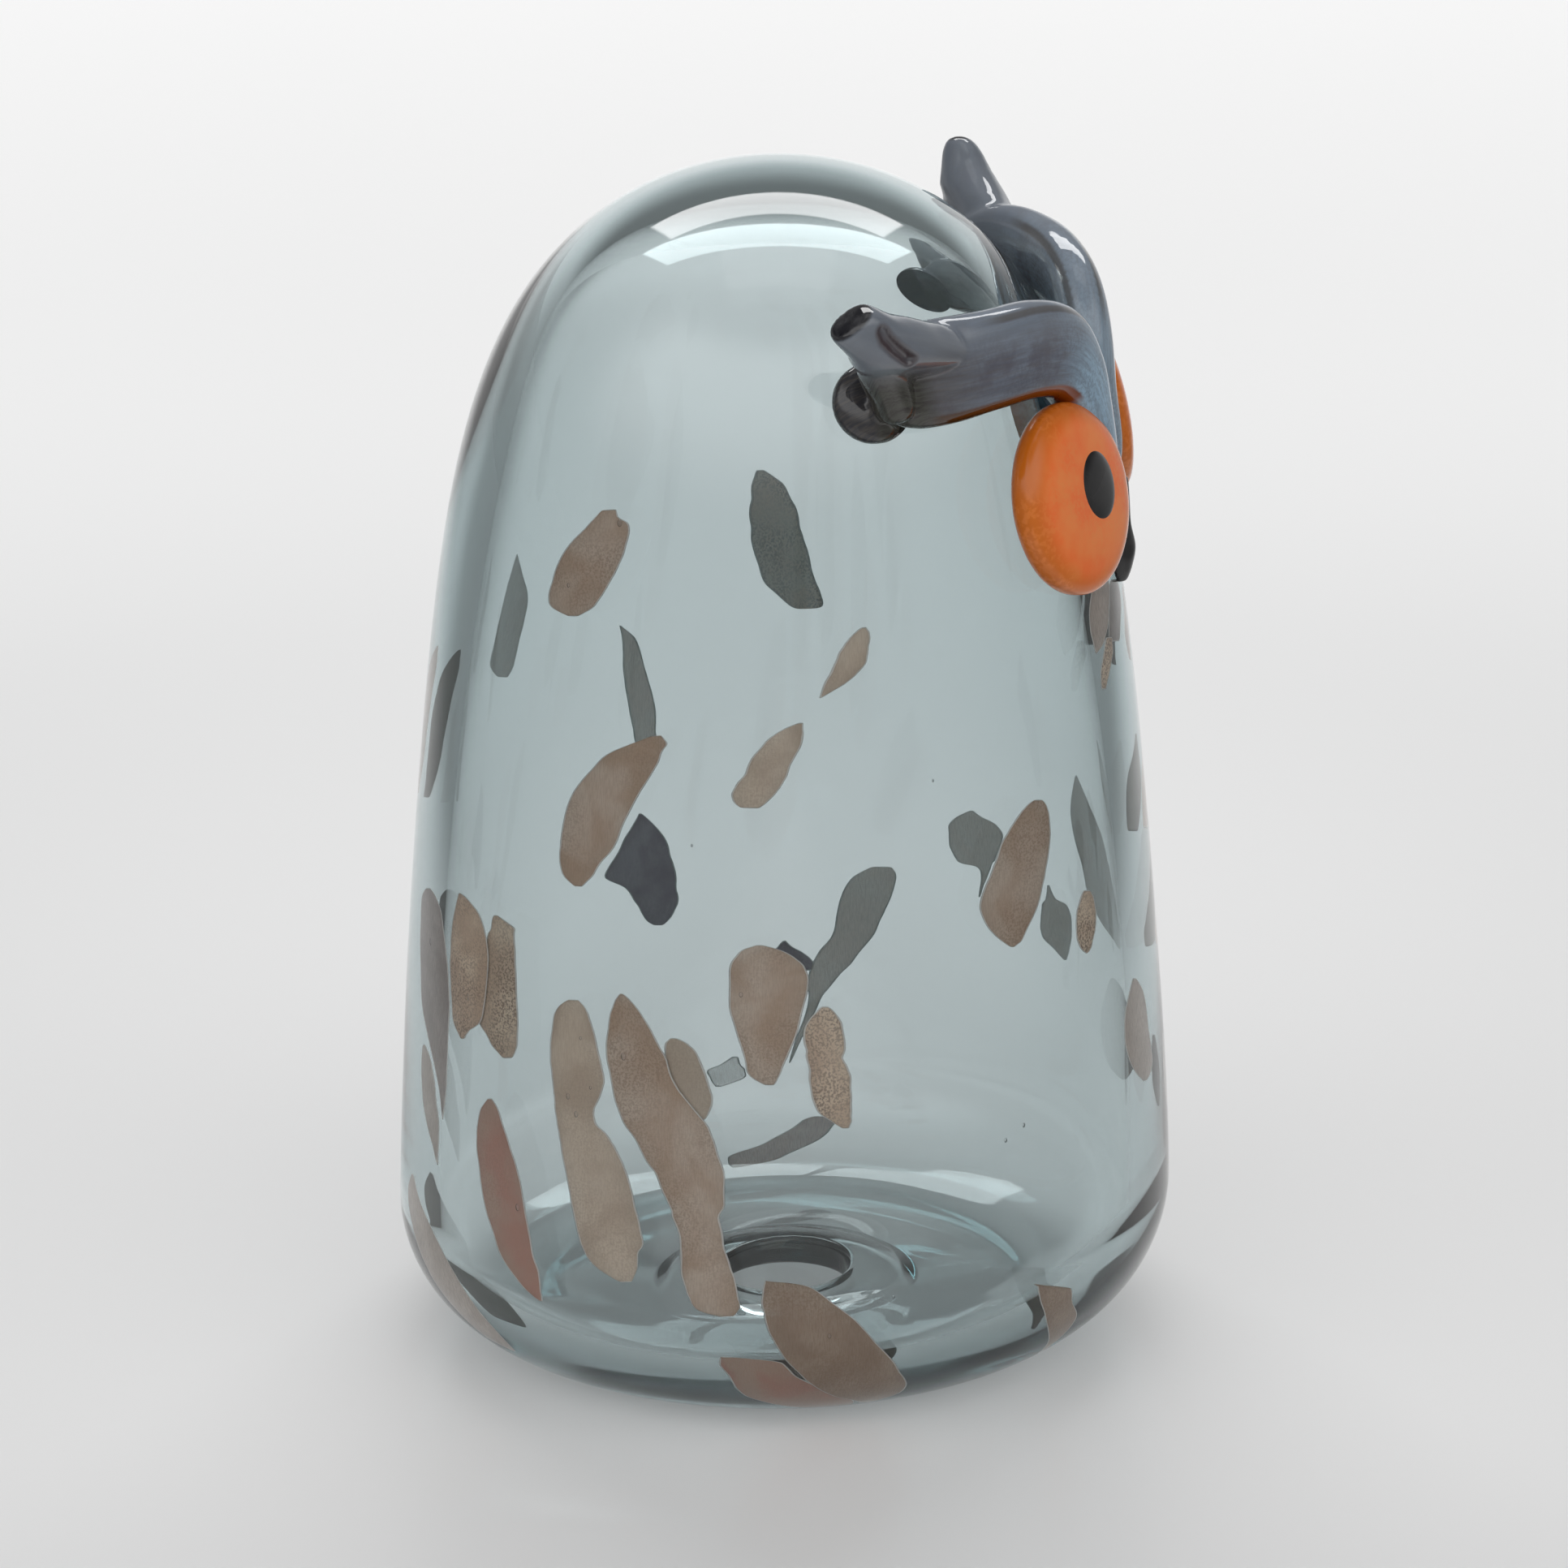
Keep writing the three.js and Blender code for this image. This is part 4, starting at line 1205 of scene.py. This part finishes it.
def melt_root(bm, side):
    """Smooths the ear's root further into the strip, more in the middle than around it."""
    root = around_axis(*EAR_ROOT, side)
    for reach in EAR_ROOT_REACHES:
        near = [vert for vert in bm.verts if (vert.co - root).length < reach]
        for _ in range(side.melt):
            bmesh.ops.smooth_vert(
                bm, verts=near, factor=0.5, use_axis_x=True, use_axis_y=True, use_axis_z=True
            )


def pinch(bm, side):
    """Presses the crease into the root of the ear."""
    places = [around_axis(*place, side) for place in CREASE]
    for vert in bm.verts:
        distance = line_distance(vert.co, places)
        if distance < CREASE_REACH:
            outward = Vector((vert.co.x, vert.co.y, 0)).normalized()
            vert.co -= outward * (CREASE_DEPTH * (1 - (distance / CREASE_REACH) ** 2) ** 2)


def line_distance(place, line):
    nearest = math.inf
    for start, end in zip(line, line[1:]):
        along = end - start
        share = clamped((place - start).dot(along) / along.length_squared)
        nearest = min(nearest, (place - start - along * share).length)
    return nearest


# How far the painted shade on the fold under the ear and the colours of the foot and the cut end
# reach, and over how much they fade, in millimetres. The foot's reach is a share of its radius, and
# its start one of its fade.
NECK_SHADE_REACH = 8.5
NECK_SHADE_FADE = 3.5
NECK_SHADE_TOP_GAP = 2
NECK_SHADE_TOP_FADE = 6
FOOT_COLOUR_REACH = 1.3
FOOT_COLOUR_RISE = 1.5
FOOT_COLOUR_START = 0.3
FOOT_COLOUR_FADE = 4
CUT_COLOUR_FADE = 1.6
OUTER_SHIFT = 0.6  # streaks slant this much over the thickness of the strip
MARKED_STATIONS = 61


def mark_brow(piece, side):
    """Stores where each point lies: along and around the strip in millimetres, across it from -1 at
    its lower edge to 1 at its upper one, how near the crease, the cut end and the foot, and how
    much painted shade falls on the fold under the ear. Left is 1 on the left brow."""
    mesh = piece.data
    names = ("along", "around", "across", "crease", "cut", "foot", "neck_shade", "left")
    for name in names:
        mesh.attributes.new(name, "FLOAT", "POINT")
    layers = {name: mesh.attributes[name] for name in names}
    strip = brow_station(side)
    stations = [strip(i / (MARKED_STATIONS - 1)) for i in range(MARKED_STATIONS)]
    lengths = [0.0]
    for (before, _, _), (after, _, _) in zip(stations, stations[1:]):
        lengths.append(lengths[-1] + (after - before).length)
    crease = [around_axis(*place, side) for place in CREASE]
    groove = [around_axis(*row[:3], side) for row in NECK_ROWS]
    tip, tip_across, tip_out = ear_station(side)(1)
    end_way = tip_across.cross(tip_out).normalized()
    if end_way.dot(tip - ear_station(side)(0.8)[0]) < 0:
        end_way.negate()
    foot, foot_normal = wall_place(FOOT_AZIMUTH, FOOT_HEIGHT, side)
    foot_face = level_ways(FOOT_AZIMUTH, side)[0]
    foot_reach = FOOT_RADIUS * FOOT_COLOUR_REACH
    neck_top = NECK_ROWS[0].height - NECK_SHADE_TOP_GAP
    for vert in mesh.vertices:
        place = vert.co / MM
        index = min(range(len(stations)), key=lambda i: (stations[i][0] - place).length_squared)
        centre, half_across, half_out = stations[index]
        offset = place - centre
        tangent = half_across.cross(half_out).normalized()
        side_way = offset.dot(half_across.normalized())
        out_way = offset.dot(half_out.normalized())
        rise = (place - foot).dot(foot_normal)
        flat = place - foot - foot_normal * rise
        on_foot = flat.length < foot_reach and rise < FOOT_THICKNESS + FOOT_COLOUR_RISE
        at_end = (place - tip).length < 2 * tip_across.length
        below_ear = clamped((neck_top - place.z) / NECK_SHADE_TOP_FADE)
        from_groove = line_distance(place, groove)
        values = {
            "along": lengths[index] + offset.dot(tangent) * side.sign,
            "around": side_way - OUTER_SHIFT * out_way,
            "across": side_way / half_across.length,
            "crease": clamped(1 - line_distance(place, crease) / (CREASE_REACH * CREASE_SPREAD)),
            "cut": clamped(1 + (place - tip).dot(end_way) / CUT_COLOUR_FADE) if at_end else 0,
            "foot": clamped(FOOT_COLOUR_START - flat.dot(foot_face) / FOOT_COLOUR_FADE) if on_foot else 0,
            # Painted shade along the fold under the ear, fading out towards the ear's top
            "neck_shade": clamped((NECK_SHADE_REACH - from_groove) / NECK_SHADE_FADE) * below_ear,
            "left": clamped(-side.sign),
        }
        for name, value in values.items():
            layers[name].data[vert.index].value = value


# Steps along a bar and sides round it
BROW_FINENESS = (96, 40)
EAR_FINENESS = (56, 40)
NECK_FINENESS = (40, 32)
FOOT_FINENESS = (24, 48)
PUPIL_FINENESS = (32, 64)
BEAK_FINENESS = (64, 32)
BUBBLE_FINENESS = (12, 20)


def ball(bm, fineness, half_sizes):
    steps, sides = fineness
    made = bmesh.ops.create_uvsphere(bm, u_segments=sides, v_segments=steps, radius=1)["verts"]
    bmesh.ops.scale(bm, vec=half_sizes, verts=made)
    return made


def add_foot(bm, side):
    """The round pad, pressed flat on the wall, that dives under the strip towards the face."""
    pad = ball(bm, FOOT_FINENESS, (FOOT_RADIUS, FOOT_RADIUS, FOOT_THICKNESS))
    for vert in pad:
        share = vert.co.z / FOOT_THICKNESS
        vert.co.z = math.copysign(abs(share) ** FOOT_FLATNESS, share) * FOOT_THICKNESS
    bmesh.ops.transform(bm, matrix=on_wall(FOOT_AZIMUTH, FOOT_HEIGHT, side), verts=pad)
    foot, foot_normal = wall_place(FOOT_AZIMUTH, FOOT_HEIGHT, side)
    for vert in pad:
        towards_face = (vert.co - foot).dot(level_ways(FOOT_AZIMUTH, side)[0])
        vert.co -= foot_normal * max(0, towards_face) * FOOT_SINK


def make_ear_brow(side, glass):
    bm = bmesh.new()
    bar(bm, brow_station(side), BROW_FINENESS, BROW_SQUARENESS, BROW_END_ROUNDING)
    bar(bm, ear_station(side), EAR_FINENESS, EAR_SQUARENESS, side.ear_end_rounding)
    bar(bm, neck_station(side), NECK_FINENESS, 1, NECK_END_ROUNDING)
    add_foot(bm, side)
    bmesh.ops.recalc_face_normals(bm, faces=bm.faces)
    bm = remeshed(bm)
    melt_root(bm, side)
    pressed(bm)
    pinch(bm, side)
    word = f"ear_brow_{side.word}"
    piece = finished(f"melted_{word}", bm, glass, [word])
    mark_brow(piece, side)
    return piece


# Chips


def unrolled(azimuth, climb, side):
    """The point of the outside that is climb millimetres up the wall, or round the corner below it."""
    radius, height = outside_radius(climb), climb
    if climb < CORNER_TOP:
        turn = min(math.pi / 2, (CORNER_TOP - climb) / CORNER_TURN)
        beyond = max(0, CORNER_TOP - climb - CORNER_TURN * math.pi / 2)
        radius = BODY_RADIUS - CORNER_REACH * (1 - math.cos(turn)) - beyond
        height = CORNER_TOP * (1 - math.sin(turn))
    return swung(around_axis(azimuth, radius, height, side))


def inside_glass(azimuth, climb, depth, side):
    """A point that lies depth millimetres under the outside of the wall."""
    step = 0.4
    upward = unrolled(azimuth, climb + step, side) - unrolled(azimuth, climb - step, side)
    around = unrolled(azimuth + step, climb, side) - unrolled(azimuth - step, climb, side)
    return unrolled(azimuth, climb, side) - upward.cross(around).normalized() * side.sign * depth


def add_chip(bm, chip, layers):
    """One closed flat lens of coloured glass, shaped by the chip's rows and bent to the wall."""
    rows = [tuple(float(value) for value in row) for row in chip.rows]
    length = rows[0][0] - rows[-1][0]
    radius = max(CHIP_LEAST_REACH, math.hypot(*unrolled(chip.azimuth, chip.climb, chip.side).xy))
    for vert in ball(bm, (4 * len(rows) + 16, CHIP_SIDES), (1, 1, 1)):
        share = (1 - vert.co.z) / 2
        ring = math.hypot(vert.co.x, vert.co.y) or 1
        across = vert.co.x / ring * swell(vert.co.z, CHIP_END_ROUNDING)
        out = vert.co.y / ring * min(1, ring * CHIP_END_FULLNESS)
        up, back, front = row_at(rows, share)
        waver = noise.noise(Vector((chip.azimuth + across * 2, chip.climb, share * len(rows) * 1.3)))
        half = abs(front - back) / 2 + waver * CHIP_WAVER
        towards_face = (back + front) / 2 + across * half
        up += chip.slant * across * half
        place = chip.azimuth - math.degrees(towards_face / radius)
        depth = chip.depth + CHIP_HALF_THICKNESS - out * CHIP_HALF_THICKNESS
        vert.co = inside_glass(place, chip.climb + up, depth, chip.side)
        from_side = half * (1 - abs(across))
        from_end = min(share, 1 - share) * length
        vert[layers["edge"]] = min(from_side, from_end)
        vert[layers["along"]] = up
        vert[layers["around"]] = towards_face


def make_bubbles(glass):
    """Seeds of air near the wall's outside, a little taller than wide."""
    bm = bmesh.new()
    for azimuth, climb, width in BUBBLES:
        made = ball(bm, BUBBLE_FINENESS, (width, BUBBLE_THICKNESS, width * BUBBLE_STRETCH))
        place = inside_glass(azimuth, climb, BUBBLE_DEPTH, RIGHT)
        turn = Matrix.Rotation(math.atan2(place.x, -place.y), 4, "Z")
        bmesh.ops.transform(bm, matrix=Matrix.Translation(place) @ turn, verts=made)
    return finished("air_bubbles", bm, glass)


def make_chips(finish, glass):
    bm = bmesh.new()
    layers = {name: bm.verts.layers.float.new(name) for name in ("edge", "along", "around")}
    for chip in CHIPS[finish]:
        add_chip(bm, chip, layers)
    return finished(f"{finish}_chips", bm, glass)


# Eyes and beak

EYE_STEPS = 48
EYE_SEGMENTS = 96


def eye_stand(side):
    """Where an eye stands on the wall, with its top tipped outwards on the left."""
    tip = Matrix.Rotation(math.radians(side.eye_tip), 4, "X")
    return on_wall(side.eye_azimuth, side.eye_height, side) @ tip


def eye_curve(proud):
    """Radius and height, from the middle of the root to the middle of the face."""
    points = []
    upper = proud - EYE_EDGE_HEIGHT
    lower = EYE_ROOT + EYE_EDGE_HEIGHT
    for i in range(EYE_STEPS + 1):
        angle = (i / EYE_STEPS - 0.5) * math.pi
        along = max(0, math.cos(angle)) ** (2 / EYE_ROUNDING) * EYE_RADIUS
        rise = math.copysign(abs(math.sin(angle)) ** (2 / EYE_ROUNDING), angle)
        points.append((along, EYE_EDGE_HEIGHT + rise * (upper if rise > 0 else lower)))
    points[0] = (0, points[0][1])
    points[-1] = (0, points[-1][1])
    return points


def mark_rim(piece, matrix):
    """Stores how far out from the middle of its disc each point lies, 0 to 1."""
    back = matrix.inverted()
    rim = piece.data.attributes.new("rim", "FLOAT", "POINT")
    for vert in piece.data.vertices:
        local = back @ (vert.co / MM)
        rim.data[vert.index].value = min(1, math.hypot(local.x, local.y) / EYE_RADIUS)


def make_eye(side, glass):
    bm = turned(eye_curve(side.eye_proud), EYE_SEGMENTS)
    stand = eye_stand(side)
    bmesh.ops.transform(bm, matrix=stand, verts=bm.verts)
    pressed(bm)
    word = f"eye_{side.word}"
    piece = finished(f"round_{word}", bm, glass, [word])
    mark_rim(piece, stand)
    return piece


def make_pupil(side, glass):
    bm = bmesh.new()
    half_depth = (PUPIL_PROUD + PUPIL_DEPTH) / 2
    ball(bm, PUPIL_FINENESS, (PUPIL_HALF_WIDTH, PUPIL_HALF_HEIGHT, half_depth))
    centre = (side.sign * PUPIL_TOWARDS_BEAK, PUPIL_ABOVE_CENTRE, side.eye_proud + PUPIL_PROUD - half_depth)
    bmesh.ops.translate(bm, vec=centre, verts=bm.verts)
    bmesh.ops.transform(bm, matrix=eye_stand(side), verts=bm.verts)
    word = f"pupil_{side.word}"
    return finished(f"oval_{word}", bm, glass, [word])


def make_beak(glass):
    def station(share):
        row = row_at(BEAK_ROWS, share)
        point, normal = wall_place(0, row.height, RIGHT)
        return point + normal * row.lift, Vector((row.radius, 0, 0)), normal * row.radius

    bm = bmesh.new()
    bar(bm, station, BEAK_FINENESS, 1, BEAK_END_ROUNDING)
    pressed(bm)
    return finished("drop_beak", bm, glass, ["beak"])


# Everything together

make_camera()
make_world()
make_floor()

speckle = make_speckle_group()
streaks = make_streak_group()
waviness = make_waviness_group()
grey = clear_grey_glass(waviness)
slate = slate_glass(streaks, speckle, waviness)
orange = orange_glass(speckle, waviness)
black = black_glass(waviness)

make_body(grey)
for side in (RIGHT, LEFT):
    make_ear_brow(side, slate)
    make_eye(side, orange)
    make_pupil(side, black)
make_beak(black)
make_bubbles(air(waviness))
for finish in CHIPS:
    make_chips(finish, chip_glass(finish, streaks, speckle))

scene = bpy.context.scene
scene.view_settings.view_transform = "Standard"
scene.cycles.use_denoising = True
scene.cycles.max_bounces = 24
scene.cycles.transmission_bounces = 24
scene.cycles.glossy_bounces = 12
scene.cycles.transparent_max_bounces = 24
scene.cycles.sample_clamp_indirect = 10
